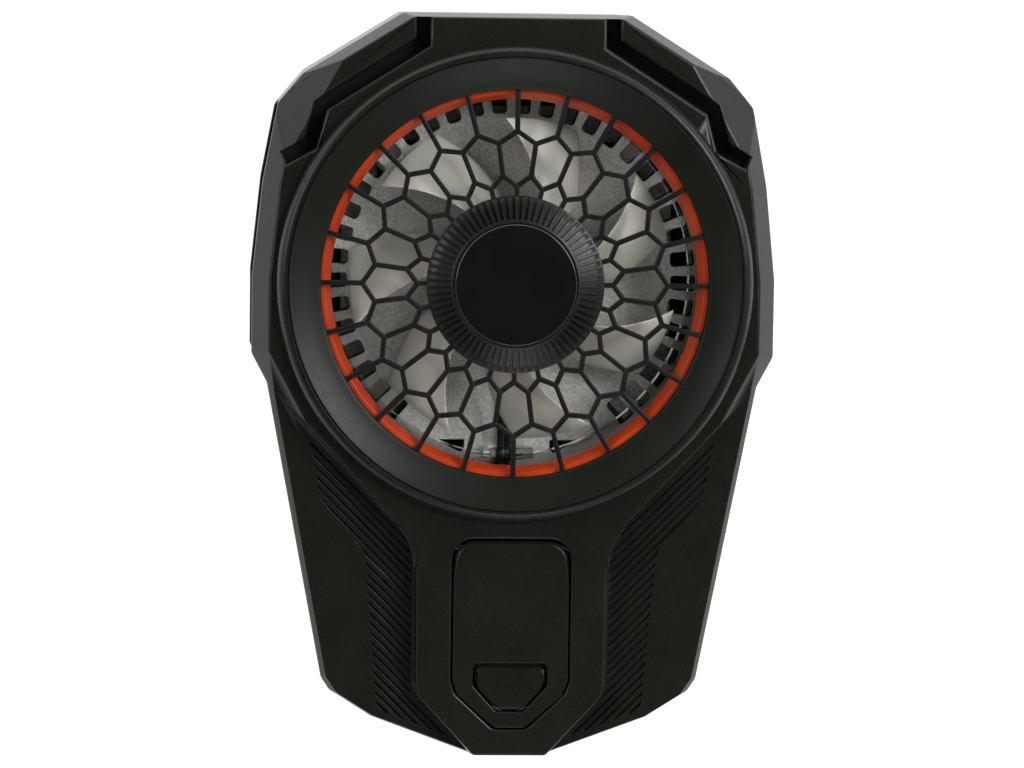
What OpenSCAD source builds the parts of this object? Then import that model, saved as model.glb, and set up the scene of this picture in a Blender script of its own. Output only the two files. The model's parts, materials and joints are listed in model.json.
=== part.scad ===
// Clip-on thermoelectric phone cooler with a small fan, a sprung clamp and a fold-out stand.
// Millimetres. +Z points out of the grille, +Y to the fixed jaw. The origin is on the fan axis,
// in the plane of the contact pad, where the back of the phone lies.

/* [Outline] */
// Width of the body over the rim of the rear shell
body_w = 64.8; // [63.8:0.2:70]
// Length of the body from its top edge to its bottom edge
body_l = 91.1; // [89.5:0.1:96]
// Depth of the body from its rear face to its front face
body_d = 26.2; // [25.6:0.1:29]
// How far the rear shell's rim stands out past the front shell
rim_out = 0.4; // [0.2:0.1:0.8]
// Space between the bezel collar and the top edge
top_margin = 3.7; // [3:0.1:8]
// Half width of the flat top edge
top_half = 13.9; // [13.6:0.1:16]
// How far the shoulder corner lies inside the widest point
shoulder_in = 6; // [4:0.1:6.5]
// How far the shoulder corner lies below the top edge
shoulder_drop = 7.5; // [6.5:0.1:9]
// How far the cheek corner lies inside the widest point
cheek_in = 3; // [1.8:0.1:3.4]
// How far the cheek corner lies below the shoulder corner
cheek_drop = 3.6; // [3:0.1:5]
// How far the temple corner lies inside the widest point
temple_in = 1.2; // [0.4:0.1:1.4]
// Height of the temple corner above the fan axis
temple_y = 12; // [9:0.5:15]
// Height of the upper end of the upright side
side_top = 0.5; // [0:0.1:5]
// Depth of the lower end of the upright side below the fan axis
side_low = 8.9; // [6:0.1:10]
// How far the hip corner lies inside the widest point
hip_in = 1.9; // [1.5:0.1:3]
// Depth of the hip corner below the fan axis
hip_y = 12.5; // [11:0.1:14]
// Half width of the tail corner
tail_x = 23.2; // [21:0.1:25]
// Height of the tail corner above the bottom edge
tail_up = 9.4; // [9:0.1:11]
// Half width of the toe corner
toe_x = 17; // [15:0.1:18]
// Height of the toe corner above the bottom edge
toe_up = 4.6; // [4:0.1:5.5]
// Half width of the flat bottom edge
bottom_half = 4.7; // [4.5:0.1:6]
// Space between the bezel collar and the stand leg
stand_margin = 2.5; // [1.8:0.1:3]
// Space between the tip of the stand leg and the bottom edge
tip_margin = 3.9; // [3:0.1:4]
// Half width of the raised spine
spine_half = 12; // [10.5:0.1:12.5]
// Height of the spine's lower corner above the bottom edge
spine_foot = 7.8; // [7:0.1:9]

/* [Shell] */
// Wall thickness of both shells
wall = 2; // [1.6:0.1:2.4]
// Height of the rear face above the contact plane
standoff = 1.2; // [1.1:0.1:2]
// Thickness of the rear floor
floor_t = 2; // [1.6:0.1:3]
// Step from the spine down to the flanks
flank_drop = 2.6; // [2:0.1:3.2]
// Width of the bevel along the sides
side_bevel = 2.2; // [1:0.1:2.4]
// Depth of the bevel along the sides
side_bevel_h = 3.4; // [2:0.1:5]
// Width of the bevel along the top, the shoulders and the rear edges
edge_bevel = 1.1; // [0.6:0.1:1.2]
// Width of the bevel along the outer edges of the flanks
flank_bevel = 0.7; // [0.4:0.1:1.1]
// Width of the steep bevel along the lower edges of the flanks
foot_bevel = 0.3; // [0.2:0.1:0.6]
// Width of the steep edge of the spine
spine_bevel = 0.4; // [0.3:0.1:0.8]
// Width of the facet outside the shoulder channels
cheek_run = 3.9; // [3:0.1:4.2]
// Depth of the facet outside the shoulder channels
cheek_fall = 3.4; // [2:0.1:3.6]
// Width of the shoulder channels
channel_w = 1.6; // [1:0.1:2]
// Depth of the shoulder channels
channel_h = 3; // [1:0.1:4]
// Spacing of the flank ribs, square to the ribs
rib_pitch = 0.8; // [0.7:0.05:1.2]
// Width of the grooves between the flank ribs
rib_groove = 0.35; // [0.2:0.05:0.5]
// Depth of the grooves between the flank ribs
rib_depth = 0.4; // [0.2:0.05:0.6]
// Width of one exhaust slot in the side of the rear shell
vent_w = 1.6; // [1:0.1:2]
// Spacing of the exhaust slots
vent_pitch = 3.2; // [2.8:0.1:4]
// Number of exhaust slots on each side
vent_count = 8; // [4:1:9]

/* [Fan] */
// Radius over the blade tips
fan_r = 20; // [19:0.25:22]
// Radius of the fan hub
hub_r = 10; // [9.8:0.1:11]
// Space under the fan hub
fan_lift = 2.4; // [1.4:0.1:2.8]
// Number of blades
blade_count = 7; // [5:1:9]
// Thickness of a blade
blade_t = 0.7; // [0.5:0.05:0.9]
// Angle a blade spans, seen from the front
blade_chord = 27; // [20:1:32]
// Angle a blade is swept back from tip to hub
blade_sweep = 22; // [0:1:30]
// Radius of the motor shaft
shaft_r = 1; // [0.8:0.05:1.2]
// Wall of the bearing bush
bush_t = 1.35; // [1:0.05:1.5]
// Wall of the steel rotor cup
yoke_t = 0.6; // [0.4:0.05:0.7]
// Radial thickness of the magnet ring
magnet_t = 1.1; // [0.8:0.1:1.2]
// Thickness of the fan circuit board
fan_pcb_t = 0.8; // [0.6:0.1:1]

/* [Front rings] */
// Space between the blade tips and the clear shroud
tip_gap = 2.4; // [1.6:0.1:2.6]
// Wall of the clear shroud
shroud_t = 0.8; // [0.6:0.1:0.9]
// Radial width of the accent ring
accent_w = 1.2; // [0.8:0.1:1.6]
// Height of the accent ring
accent_h = 2.2; // [1.6:0.1:2.6]
// Radial width of the bezel ring
bezel_w = 4; // [3:0.1:5]
// Height of the bezel's outer edge above the shell
bezel_rise = 2; // [1.6:0.1:2.6]
// Fall of the bezel's face from its outer to its inner edge
bezel_dish = 1.4; // [0:0.05:1.5]
// Radial width of the sloped collar round the bezel
collar_w = 1.4; // [1:0.1:2]
// Space between the fan hub and the grille
grille_gap = 2; // [0.8:0.1:2.4]
// Width of the grille's rim under the bezel
grille_rim = 1; // [0.6:0.1:1.4]
// Thickness of the grille
grille_t = 1; // [0.7:0.1:1.1]
// Width of a grille bar
bar_w = 0.6; // [0.4:0.05:0.8]
// Number of grille spokes
spoke_count = 24; // [18:2:28]
// Radius of the hub of the grille
boss_r = 10.8; // [10:0.1:11.2]
// Radius of the plain hub disc
disc_r = 7.4; // [6:0.1:8.5]
// Height of the hub disc above the grille
disc_h = 1.3; // [0.9:0.1:1.8]
// Number of ridges round the knurled hub ring
knurl_count = 72; // [48:4:80]

/* [Heat sink and cooling module] */
// Thickness of the heat sink's core
sink_t = 4.4; // [4:0.1:6]
// Thickness of the heat sink's slotted rim
rim_t = 3; // [2:0.1:3.4]
// Reach of the heat sink past the shroud
sink_lip = 0.2; // [0.1:0.1:0.6]
// Radial length of a rim slot
slot_len = 3.1; // [2.8:0.1:3.8]
// Number of slots round the rim
slot_count = 45; // [36:3:48]
// Width of a rim slot
slot_w = 1.8; // [1.2:0.1:2]
// Distance of the ear screws from the edge of the heat sink
ear_reach = 2.6; // [2.4:0.1:2.8]
// Thickness of the screw ears
ear_t = 1.6; // [1.2:0.1:2]
// Width of the thermoelectric module
tec_w = 25; // [20:0.5:26]
// Thickness of each ceramic plate
tec_plate_t = 0.7; // [0.5:0.05:1]
// Height of the pellets
pellet_h = 2; // [1.4:0.1:2.4]
// Number of pellets along one side
pellet_rows = 8; // [5:1:9]
// Thickness of the thermal sheet
sheet_t = 0.4; // [0.2:0.1:0.6]
// Thickness of the cold plate's flange
flange_t = 1; // [0.8:0.1:1.6]
// Thickness of the contact pad
pad_t = 1; // [0.8:0.05:1.1]

/* [Clamp] */
// Width of the narrowest phone that the jaws hold
phone_min = 62; // [61:0.5:64]
// Travel of the lower jaw
jaw_travel = 18; // [10:0.5:19]
// Thickness of the thickest phone
phone_t = 9.5; // [8:0.1:12]
// Half width of the upper jaw
upper_jaw_half = 13; // [12:0.1:13.2]
// Half width of the lower jaw
lower_jaw_half = 11; // [10.4:0.1:11.4]
// Thickness of the jaw walls
jaw_wall = 2.6; // [2:0.1:3]
// Thickness of the bridge between the lower jaw's plate and the slider
bridge_t = 1.5; // [1.2:0.1:1.8]
// Thickness of the jaw plates that lie in the rear shell
jaw_plate = 1.8; // [1.6:0.1:2.2]
// Thickness of the lips under the phone
lip_t = 1.5; // [1.2:0.1:2.5]
// Reach of the lips past the pads
lip_reach = 2; // [1:0.1:3]
// Thickness of the jaw pads
jaw_pad = 1; // [0.6:0.1:1.3]
// Radius of the guide rods
rod_r = 1; // [0.8:0.05:1.1]
// Distance of each guide rod from the middle
rod_x = 9; // [8.9:0.1:9.4]
// Height of the slider
slider_h = 3.6; // [3.4:0.1:4.4]
// Thickness of the slider along its travel
slider_t = 4; // [3:0.1:4.4]
// Radius of the spring wire
wire_r = 0.25; // [0.15:0.05:0.3]
// Number of curls in each clamp spring
curl_count = 7; // [5:1:9]

/* [Stand] */
// Half width of the stand leg
stand_half = 7; // [6.8:0.1:7.6]
// Thickness of the stand leg with its back plate
stand_t = 2.4; // [2.4:0.1:2.8]
// Corner radius at the hinge end
stand_corner = 2.3; // [1.5:0.1:2.6]
// Gap round the stand leg
stand_gap = 0.3; // [0.3:0.05:0.5]
// Depth of the bevel round the front of the stand leg, and its width at the hinge
stand_bevel = 0.5; // [0.5:0.05:0.6]
// Width of the bevel along the stand leg's sides and tip
stand_edge = 0.15; // [0.1:0.05:0.3]
// Radius of the hinge pin
pin_r = 0.45; // [0.3:0.05:0.5]
// Depth of the hinge pin below the front of the leg, and from its end
pin_in = 0.8; // [0.75:0.05:0.9]
// Half width of the latch tab
tab_half = 4.4; // [4:0.1:5.2]
// Length of the latch tab
tab_len = 5.4; // [5:0.1:6]
// Distance from the tip of the leg to the latch tab
tab_up = 2.1; // [1.8:0.1:2.4]
// Press travel of the latch tab
tab_travel = 0.45; // [0.3:0.05:0.5]

/* [Electronics] */
// Thickness of the main circuit board
pcb_t = 1; // [0.8:0.1:1.6]
// Half width of the main circuit board
pcb_half = 10; // [9.2:0.1:10.8]
// Width of the charging port
port_w = 8.94; // [8.34:0.1:9]
// Height of the charging port
port_h = 3.26; // [3:0.02:3.3]
// Depth of the charging port
port_d = 7.3; // [6.5:0.1:8]
// Radius of a lead
lead_r = 0.4; // [0.25:0.05:0.45]

/* [Fasteners] */
// Radius of the screw shanks
screw_r = 1; // [0.8:0.05:1.1]
// Radius of the screw heads
head_r = 1.9; // [1.5:0.1:2]
// Height of the screw heads
head_h = 1; // [0.8:0.1:1.1]
// Wall of a screw boss round its screw
boss_t = 1.6; // [1.2:0.1:1.8]

/* [Fits] */
// Radial clearance of shafts, pins and rods that move
run_fit = 0.05; // [0.02:0.01:0.1]
// Gap between parts that slide past each other
slide_gap = 0.2; // [0.15:0.05:0.3]
// Gap between fixed parts that drop into each other
seat_gap = 0.05; // [0.02:0.01:0.1]

/* [Hidden] */
$fn = 64;
sides = [-1, 1];
far = 120;
eps = 0.01;

// Small step that keeps joined blocks from sharing a face
blend = 0.1;

// Radii from the fan outwards
shroud_r = fan_r + tip_gap;
shroud_out = shroud_r + shroud_t;
well_r = shroud_out + slide_gap;
accent_r = shroud_r;
accent_out = accent_r + accent_w;
grille_out = accent_out + grille_rim;
bezel_out = accent_out + bezel_w;
collar_r = bezel_out + collar_w;
sink_r = shroud_out + sink_lip;
slot_r = sink_r - slot_len;

// Heights from the contact plane to the front
floor_z = standoff + floor_t;
tec_z = floor_z + flange_t;
pellet_z = tec_z + tec_plate_t;
hot_z = pellet_z + pellet_h;
sheet_z = hot_z + tec_plate_t;
sink_z = sheet_z + sheet_t;
sink_top = sink_z + sink_t;
rim_z = sink_top - rim_t;
grille_sink = 0.7;
bezel_sink = 0.6;
seam_rise = 1;
front_z = standoff + body_d;
grille_z = front_z - grille_sink;
grille_top = grille_z + grille_t;
accent_z = grille_z - accent_h;
fan_z = sink_top + fan_lift;
fan_top = grille_z - grille_gap;
fan_h = fan_top - fan_z;
bezel_z = front_z + bezel_rise;
bezel_seat = front_z - bezel_sink;
flank_z = front_z - flank_drop;
cavity_z = flank_z - wall;
part_z = sink_z + seam_rise;

// Distances along Y, all counted down from the fan axis
top_y = collar_r + top_margin;
stand_y = collar_r + stand_margin;
neck_drop = 0.4;
neck_y = stand_y + neck_drop;
bottom_y = body_l - top_y;
tip_y = bottom_y - tip_margin;

// Corners of the outline, right half from the bottom up: x, y, the bevel width of the edge after it
// and, on the upper half, 1 where the rear shell's rim stands out along that edge
side_x = body_w / 2 - rim_out;
shoulder_y = top_y - shoulder_drop;
hip_x = side_x - hip_in;
tail_cut = [1, 1.5];
spine_taper = 0.1;
upper_half = [
    [spine_half + blend, -neck_y, spine_bevel, 0],
    [hip_x, -hip_y, side_bevel, 1],
    [side_x, -side_low, side_bevel, 1],
    [side_x, side_top, side_bevel, 1],
    [side_x - temple_in, temple_y, side_bevel, 1],
    [side_x - cheek_in, shoulder_y - cheek_drop, side_bevel, 0],
    [side_x - shoulder_in, shoulder_y, edge_bevel, 0],
    [top_half, top_y, edge_bevel, 0]
];
lower_half = [
    [bottom_half, -bottom_y, foot_bevel],
    [toe_x, -(bottom_y - toe_up), foot_bevel],
    [tail_x - tail_cut.x, -(bottom_y - tail_up + tail_cut.y), flank_bevel],
    [tail_x, -(bottom_y - tail_up), flank_bevel],
    [hip_x, -hip_y, flank_bevel],
    [hip_x, -side_low, flank_bevel]
];
spine_round = 4;
spine_toe = [bottom_half - blend, -bottom_y];
spine_heel = [spine_half - spine_taper, -(bottom_y - spine_foot)];
spine = [
    for (p = concat(
        [spine_toe],
        fillet(spine_toe, spine_heel, [spine_half, -neck_y], spine_round),
        [[spine_half, -neck_y], [spine_half, -hip_y]]
    ))
        [p.x, p.y, spine_bevel]
];

// Cooling stack sizes
flange_step = 2;
ear_r = sink_r + ear_reach;
ear_at = ear_r / sqrt(2);
flange_half = ear_at + screw_r + boss_t;
window_half = flange_half - flange_step;
foam_half = ear_at - head_r;

// Clamp sizes
jaw_in = 0.4;
upper_face = top_y - jaw_in - jaw_wall - jaw_pad;
lower_face = upper_face - phone_min;
lip_z = -phone_t - lip_t;
recess_z = standoff + jaw_plate + 1.5 * slide_gap;
ceiling_z = recess_z + bridge_t;
slider_z = ceiling_z + slide_gap;
slider_top = slider_z + slider_h;
rod_z = slider_z + slider_h / 2;
slider_wall = 2;
slider_half = rod_x + rod_r + slider_wall;
rib_gap = 0.6;
rib_y = flange_half + rib_gap;
rib_t = 2;
rod_seat = 1.2;
slider_y = rib_y + rib_t + 2 * slide_gap;
slider_end = slider_y + slider_t;
rod_margin = 4.1;
rod_end = bottom_y - rod_margin;
spring_end = rod_end - rib_t;
leg_x = 6;
leg_w = 3;
plate_top = -(slider_y - blend);
plate_margin = 0.6;
jaw_screw_in = 2;
jaw_screw_y = upper_face - jaw_screw_in;
jaw_screw_x = 9;
jaw_end = jaw_screw_y - head_r - plate_margin;
jaw_head_z = standoff + head_h + blend;

// Stand sizes
hinge_y = -(stand_y + pin_in);
hinge_z = front_z - pin_in;
stand_under = 0.4;
stand_floor = front_z - stand_t - stand_under;
pin_reach = 2.4;
stand_back_t = 0.4;
stand_back_z = front_z - stand_t;
leg_z = stand_back_z + stand_back_t;
tab_y = tip_y - tab_up;
flange_w = 0.6;
tab_flange_t = 0.5;
tab_spare = 0.1;
tab_flange_z = leg_z + tab_travel + tab_spare;
tab_seat = tab_flange_z + tab_flange_t + seat_gap;
tab_sink = 0.15;
tab_top = front_z - tab_sink;

// Electronics and fasteners
pcb_gap = 1.4;
pcb_z = slider_top + pcb_gap;
pcb_lead = 1;
pcb_top = stand_y - pcb_lead;
pcb_margin = 5;
pcb_end = bottom_y - pcb_margin;
port_z = pcb_z + pcb_t;
port_in = 0.3;
post_x = 7.5;
post_drop = 6;
post_y = -(pcb_top + post_drop);
small_r = 0.8 * screw_r;
small_head_r = 1.5 * screw_r;
small_head_h = 0.8 * head_h;
pcb_screw_grip = 4;
pcb_screw_top = pcb_z + pcb_t + pcb_screw_grip;
slider_head_z = standoff + small_head_h + blend;
tip_clear = 0.2;
upper_screw_in = 12.3;
upper_screw_drop = 8.5;
lower_screw_in = 5.4;
lower_screw_up = 11;
upper_screw = [side_x - upper_screw_in, top_y - upper_screw_drop];
lower_screw = [tail_x - lower_screw_in, bottom_y - lower_screw_up];
case_screws_at = [
    for (s = sides)
        each [[s * upper_screw.x, upper_screw.y], [s * lower_screw.x, -lower_screw.y]]
];
head_sink = 1.6;
case_head_z = standoff + head_sink;
thread_grip = 6;
case_screw_top = part_z + thread_grip;
case_boss_r = screw_r + boss_t;

// Plane geometry
function unit(v) = v / norm(v);
function left(v) = [-v.y, v.x];
function flat(half) = [for (p = half) [p.x, p.y]];
function mirrored(p) = [for (i = [len(p) - 1:-1:0]) [-p[i].x, p[i].y]];
function outline(half) = concat(flat(half), mirrored(flat(half)));
function runs(half, column) = concat(
    [for (p = half) p[column]],
    [for (i = [len(half) - 2:-1:0]) half[i][column]],
    [half[0][column]]
);
function inset_each(p, d) = [
    for (i = [0:len(p) - 1])
        let (
            h = (i + len(p) - 1) % len(p),
            n1 = left(unit(p[i] - p[h])),
            n2 = left(unit(p[(i + 1) % len(p)] - p[i])),
            area = n1.x * n2.y - n1.y * n2.x
        )
        p[i] + [d[h] * n2.y - d[i] * n1.y, d[i] * n1.x - d[h] * n2.x] / area
];
function inset(p, d) = [
    for (i = [0:len(p) - 1])
        let (
            a = p[(i + len(p) - 1) % len(p)],
            c = p[(i + 1) % len(p)],
            n1 = left(unit(p[i] - a)),
            n2 = left(unit(c - p[i]))
        )
        p[i] + d * (n1 + n2) / (1 + n1 * n2)
];
function fillet(a, b, c, r, steps = 3) =
    let (
        u = unit(a - b),
        v = unit(c - b),
        half = acos(u * v) / 2,
        centre = b + unit(u + v) * r / sin(half),
        start = b + u * r / tan(half) - centre,
        end = b + v * r / tan(half) - centre
    )
    [for (i = [0:steps]) centre + r * unit(start + (end - start) * i / steps)];
function polar(r, a) = [r * cos(a), r * sin(a)];
function arc(centre, r, a0, a1, steps) = [
    for (i = [0:steps]) centre + polar(r, a0 + (a1 - a0) * i / steps)
];
function round_rect(hw, hh, r) = concat(
    arc([hw - r, -hh + r], r, -90, 0, 6),
    arc([hw - r, hh - r], r, 0, 90, 6),
    arc([-hw + r, hh - r], r, 90, 180, 6),
    arc([-hw + r, -hh + r], r, 180, 270, 6)
);
function turn_at(p, i) =
    i == 0 ? unit(p[1] - p[0]) :
    i == len(p) - 1 ? unit(p[i] - p[i - 1]) :
    unit(unit(p[i] - p[i - 1]) + unit(p[i + 1] - p[i]));
function mitre(p, i) =
    i == 0 || i == len(p) - 1 ? 1 : 1 / (turn_at(p, i) * unit(p[i] - p[i - 1]));
function ribbon(p, w) = concat(
    [for (i = [0:len(p) - 1]) p[i] - left(turn_at(p, i)) * mitre(p, i) * w / 2],
    [for (i = [len(p) - 1:-1:0]) p[i] + left(turn_at(p, i)) * mitre(p, i) * w / 2]
);

// A tube swept along points, with rings square to the path and a fixed direction that the path never takes
tube_sides = 8;
function ring_at(p, i, r, ref, n) =
    let (
        t = turn_at(p, i),
        u = unit(cross(t, ref)),
        v = cross(t, u)
    )
    [for (k = [0:n - 1]) p[i] + r * (u * cos(360 * k / n) + v * sin(360 * k / n))];

module tube(path, r, ref, n = tube_sides) {
    last = len(path) - 1;
    points = [for (i = [0:last]) each ring_at(path, i, r, ref, n)];
    walls = [
        for (i = [0:last - 1], k = [0:n - 1])
            let (
                a = i * n + k,
                b = i * n + (k + 1) % n
            )
            each [[a, b, b + n], [a, b + n, a + n]]
    ];
    caps = [
        for (k = [1:n - 2])
            each [[0, k + 1, k], [last * n, last * n + k, last * n + k + 1]]
    ];
    polyhedron(points, concat(walls, caps));
}

module prism(points, z0, z1) {
    translate([0, 0, z0])
        linear_extrude(z1 - z0)
            polygon(points);
}

// A convex block whose front edges are bevelled, each by its own width
module bevelled(points, widths, depth, z0, z1) {
    hull() {
        prism(points, z0, z1 - depth);
        prism(inset_each(points, widths), z0, z1);
    }
}

module front_block(half, depth, z0, z1) {
    bevelled(outline(half), runs(half, 2), depth, z0, z1);
}

// A cut along one straight edge, as wide and as deep as its bevel
module edge_cut(a, b, z, run, drop) {
    slope = norm([run, drop]);
    extra = 2 * run;
    translate([a.x, a.y, z - drop])
        rotate([0, 0, atan2(b.y - a.y, b.x - a.x)])
            rotate([atan2(drop, run), 0, 0])
                translate([-extra, -run, 0])
                    cube([norm(b - a) + 2 * extra, slope + 2 * run, slope + run]);
}

module rear_block(half, rim = 0) {
    points = rim > 0 ? inset_each(outline(half), -rim * runs(half, 3)) : outline(half);
    hull() {
        prism(points, standoff + edge_bevel, part_z);
        prism(inset(points, edge_bevel), standoff, part_z);
    }
}

module rod(r, z0, z1) {
    translate([0, 0, z0])
        cylinder(r = r, h = z1 - z0);
}

module ring(r0, r1, z0, z1) {
    difference() {
        rod(r1, z0, z1);
        rod(r0, z0 - 1, z1 + 1);
    }
}

module box(x, y, z) {
    translate([x[0], y[0], z[0]])
        cube([x[1] - x[0], y[1] - y[0], z[1] - z[0]]);
}

module both_sides() {
    for (s = sides)
        mirror([s < 0 ? 1 : 0, 0, 0])
            children();
}

module at_case_screws() {
    for (p = case_screws_at)
        translate([p.x, p.y, 0])
            children();
}

post_wall = 0.8;
module at_posts() {
    for (s = sides)
        translate([s * post_x, post_y, 0])
            children();
}

// A screw with its head at the bottom and its tip at the top
hex_share = 0.45;
module screw(head_z, top_z, r = screw_r, hr = head_r, h = head_h) {
    difference() {
        union() {
            rod(hr, head_z - h, head_z);
            rod(r, head_z - eps, top_z);
        }
        translate([0, 0, head_z - h - eps])
            cylinder(r = hr * hex_share, h = h / 2, $fn = 6);
    }
}

// Body shells
module shell_cavity(z0, z1) {
    prism(inset(outline(upper_half), wall), z0, z1);
    prism(inset(outline(lower_half), wall), z0, z1);
}

module front_seats() {
    rotate_extrude()
        polygon([
            [0, cavity_z - 1], [well_r, cavity_z - 1], [well_r, accent_z],
            [accent_out + seat_gap, accent_z], [accent_out + seat_gap, grille_z],
            [grille_out + seat_gap, grille_z], [grille_out + seat_gap, bezel_seat],
            [bezel_out + seat_gap, bezel_seat], [bezel_out + seat_gap, bezel_z + 1], [0, bezel_z + 1]
        ]);
}

collar_top = 0.3;
module collar() {
    rotate_extrude()
        polygon([
            [0, front_z - 1], [collar_r, front_z - 1], [collar_r, front_z],
            [bezel_out + collar_top, bezel_z], [0, bezel_z]
        ]);
}

// Facet of the cheek, whose inner edge runs from the side's bevel to the shoulder's edge
shoulder = [side_x - shoulder_in, shoulder_y];
facet_high = [4.8, -1.7];
facet_low = [-2.2, 10.7];
module cheek_facet() {
    low = shoulder - facet_low;
    high = shoulder - facet_high;
    out = -left(unit(high - low)) * cheek_run;
    edge_cut(low + out, high + out, front_z, cheek_run, cheek_fall);
}

// Shoulder channel: down from the top edge, along the shoulder and out to the side's bevel
channel_in = 2.4;
channel_drop = 3.5;
channel_bend = [2.2, 3.8];
channel_turn = [1, 8.4];
channel_end = [-2.2, 10.2];
module channel() {
    path = [
        [top_half - channel_in, top_y + 1],
        [top_half - channel_in, top_y - channel_drop],
        shoulder - channel_bend,
        shoulder - channel_turn,
        shoulder - channel_end
    ];
    prism(ribbon(path, channel_w), front_z - channel_h, bezel_z + 1);
}

// Ribbed part of the flank, between the spine and a line inside the outer edge
rib_clear = 0.15;
rib_start = 7.8;
first_in = 5.3;
first_drop = 6.6;
waist_in = 6.6;
waist_drop = 14;
calf_out = 5.9;
calf_drop = 1.5;
last_out = 4.3;
last_up = 5.6;
toe_in = 4.4;
rib_toe_up = 2.4;
rib_first = [hip_x - first_in, -(hip_y + first_drop)];
rib_waist = [hip_x - waist_in, -(hip_y + waist_drop)];
rib_calf = [spine_half + calf_out, -(neck_y + calf_drop)];
rib_last = [spine_half + last_out, -(bottom_y - last_up)];
rib_toe = [spine_half - toe_in, -(bottom_y - rib_toe_up)];
module rib_zone() {
    upper = [spine_half + blend, -neck_y];
    hip = [hip_x, -hip_y];
    down = unit(upper - hip);
    out = [-down.y, down.x] * rib_clear;
    prism([
        hip + down * rib_start + out,
        upper + out - down * rib_clear,
        [spine_half + rib_clear, -(neck_y + 2 * rib_clear)],
        [spine_half - spine_taper + rib_clear, -(bottom_y - spine_foot)],
        rib_toe,
        rib_last,
        rib_calf,
        rib_waist,
        rib_first
    ], flank_z - rib_depth, flank_z + eps);
}

module flank_grooves() {
    low = rib_first.x - rib_first.y;
    high = rib_last.x - rib_last.y;
    step = rib_pitch * sqrt(2);
    intersection() {
        rib_zone();
        for (c = [low + step / 2:step:high])
            translate([c / 2, -c / 2, 0])
                rotate([0, 0, 45])
                    box([-far / 2, far / 2], [-rib_groove / 2, rib_groove / 2], [flank_z - 1, flank_z + 1]);
    }
}

module stand_pocket() {
    prism(inset(stand_outline(), -stand_gap), stand_floor, bezel_z);
}

module port_outline(extra) {
    translate([0, 0, port_z + port_h / 2])
        rotate([90, 0, 0])
            linear_extrude(bottom_y)
                polygon(round_rect(port_w / 2 + extra, port_h / 2 + extra, port_h / 2 + extra - eps));
}

module front_shell() {
    color("#262a28")
        difference() {
            union() {
                difference() {
                    union() {
                        front_block(upper_half, side_bevel_h, part_z, front_z);
                        front_block(lower_half, edge_bevel, part_z, flank_z);
                        front_block(spine, flank_drop, part_z, front_z);
                        collar();
                    }
                    shell_cavity(part_z - 1, cavity_z);
                    front_seats();
                    both_sides() {
                        cheek_facet();
                        channel();
                    }
                    both_sides()
                        flank_grooves();
                    stand_pocket();
                }
                at_case_screws()
                    rod(case_boss_r, part_z, cavity_z + eps);
                at_posts()
                    rod(small_r + post_wall, pcb_z + pcb_t, cavity_z + eps);
            }
            at_case_screws()
                rod(screw_r, part_z - 1, case_screw_top + tip_clear);
            at_posts()
                rod(small_r, pcb_z, pcb_screw_top + tip_clear);
            stand_pin_at(pin_r, stand_half + pin_reach);
            translate([0, -(bottom_y - 3 * wall), 0])
                port_outline(2 * seat_gap);
        }
}

vent_shift = 2;
vent_sill = 0.9;
module rear_shell() {
    color("#1f2322")
        difference() {
            union() {
                difference() {
                    union() {
                        rear_block(upper_half, rim_out);
                        rear_block(lower_half);
                    }
                    shell_cavity(floor_z, part_z + 1);
                }
                upper_jaw_bed();
                lower_jaw_bed();
                at_case_screws()
                    rod(case_boss_r, standoff + eps, part_z);
            }
            box([-window_half, window_half], [-window_half, window_half], [0, ceiling_z + 1]);
            upper_jaw_cuts();
            lower_jaw_cuts();
            at_case_screws() {
                rod(screw_r + slide_gap, 0, part_z + 1);
                rod(head_r + slide_gap, 0, case_head_z);
            }
            for (s = sides, i = [0:vent_count - 1])
                translate([s * side_x, (i - (vent_count - 1) / 2) * vent_pitch + vent_shift, 0])
                    box([-2 * wall, 2 * wall], [-vent_w / 2, vent_w / 2],
                        [floor_z + vent_sill, part_z - vent_sill]);
        }
}

bed_wall = 2;
bed_root = 0.5;
jaw_screw_low = 1.2;
jaw_screw_top = part_z - jaw_screw_low;
module at_jaw_screws() {
    for (s = sides)
        translate([s * jaw_screw_x, jaw_screw_y, 0])
            children();
}

module upper_jaw_bed() {
    half = upper_jaw_half + bed_wall;
    box([-half, half], [jaw_end - bed_wall, top_y - wall], [standoff + bed_root, ceiling_z]);
    at_jaw_screws()
        rod(screw_r + boss_t, ceiling_z - eps, jaw_screw_top + 4 * tip_clear);
}

module upper_jaw_cuts() {
    box([-upper_jaw_half - slide_gap, upper_jaw_half + slide_gap],
        [jaw_end - slide_gap, top_y + 1], [0, standoff + jaw_plate]);
    at_jaw_screws()
        rod(screw_r, 0, jaw_screw_top + tip_clear);
}

rod_wall = 1.4;
module lower_jaw_bed() {
    intersection() {
        box([-slider_half - rod_wall, slider_half + rod_wall], [-bottom_y, -rib_y],
            [standoff + bed_root, ceiling_z]);
        prism(inset(outline(lower_half), edge_bevel + 2 * blend), 0, part_z);
    }
    box([-slider_half, slider_half], [-rib_y - rib_t, -rib_y], [ceiling_z - eps, slider_top]);
    for (s = sides)
        box([s * rod_x - rod_r - rod_wall, s * rod_x + rod_r + rod_wall], [-rod_end, -spring_end],
            [ceiling_z - eps, slider_top]);
}

module lower_jaw_cuts() {
    box([-lower_jaw_half - slide_gap, lower_jaw_half + slide_gap],
        [-bottom_y - 1, plate_top + slide_gap], [0, recess_z]);
    for (s = sides) {
        box([s * leg_x - leg_w / 2 - slide_gap, s * leg_x + leg_w / 2 + slide_gap],
            [-slider_end - jaw_travel - slide_gap, -slider_y + slide_gap], [0, ceiling_z + eps]);
        rod_along_y(s * rod_x, rod_r, -spring_end - rod_seat, -(rib_y + rib_t - rod_seat));
    }
}

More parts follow.
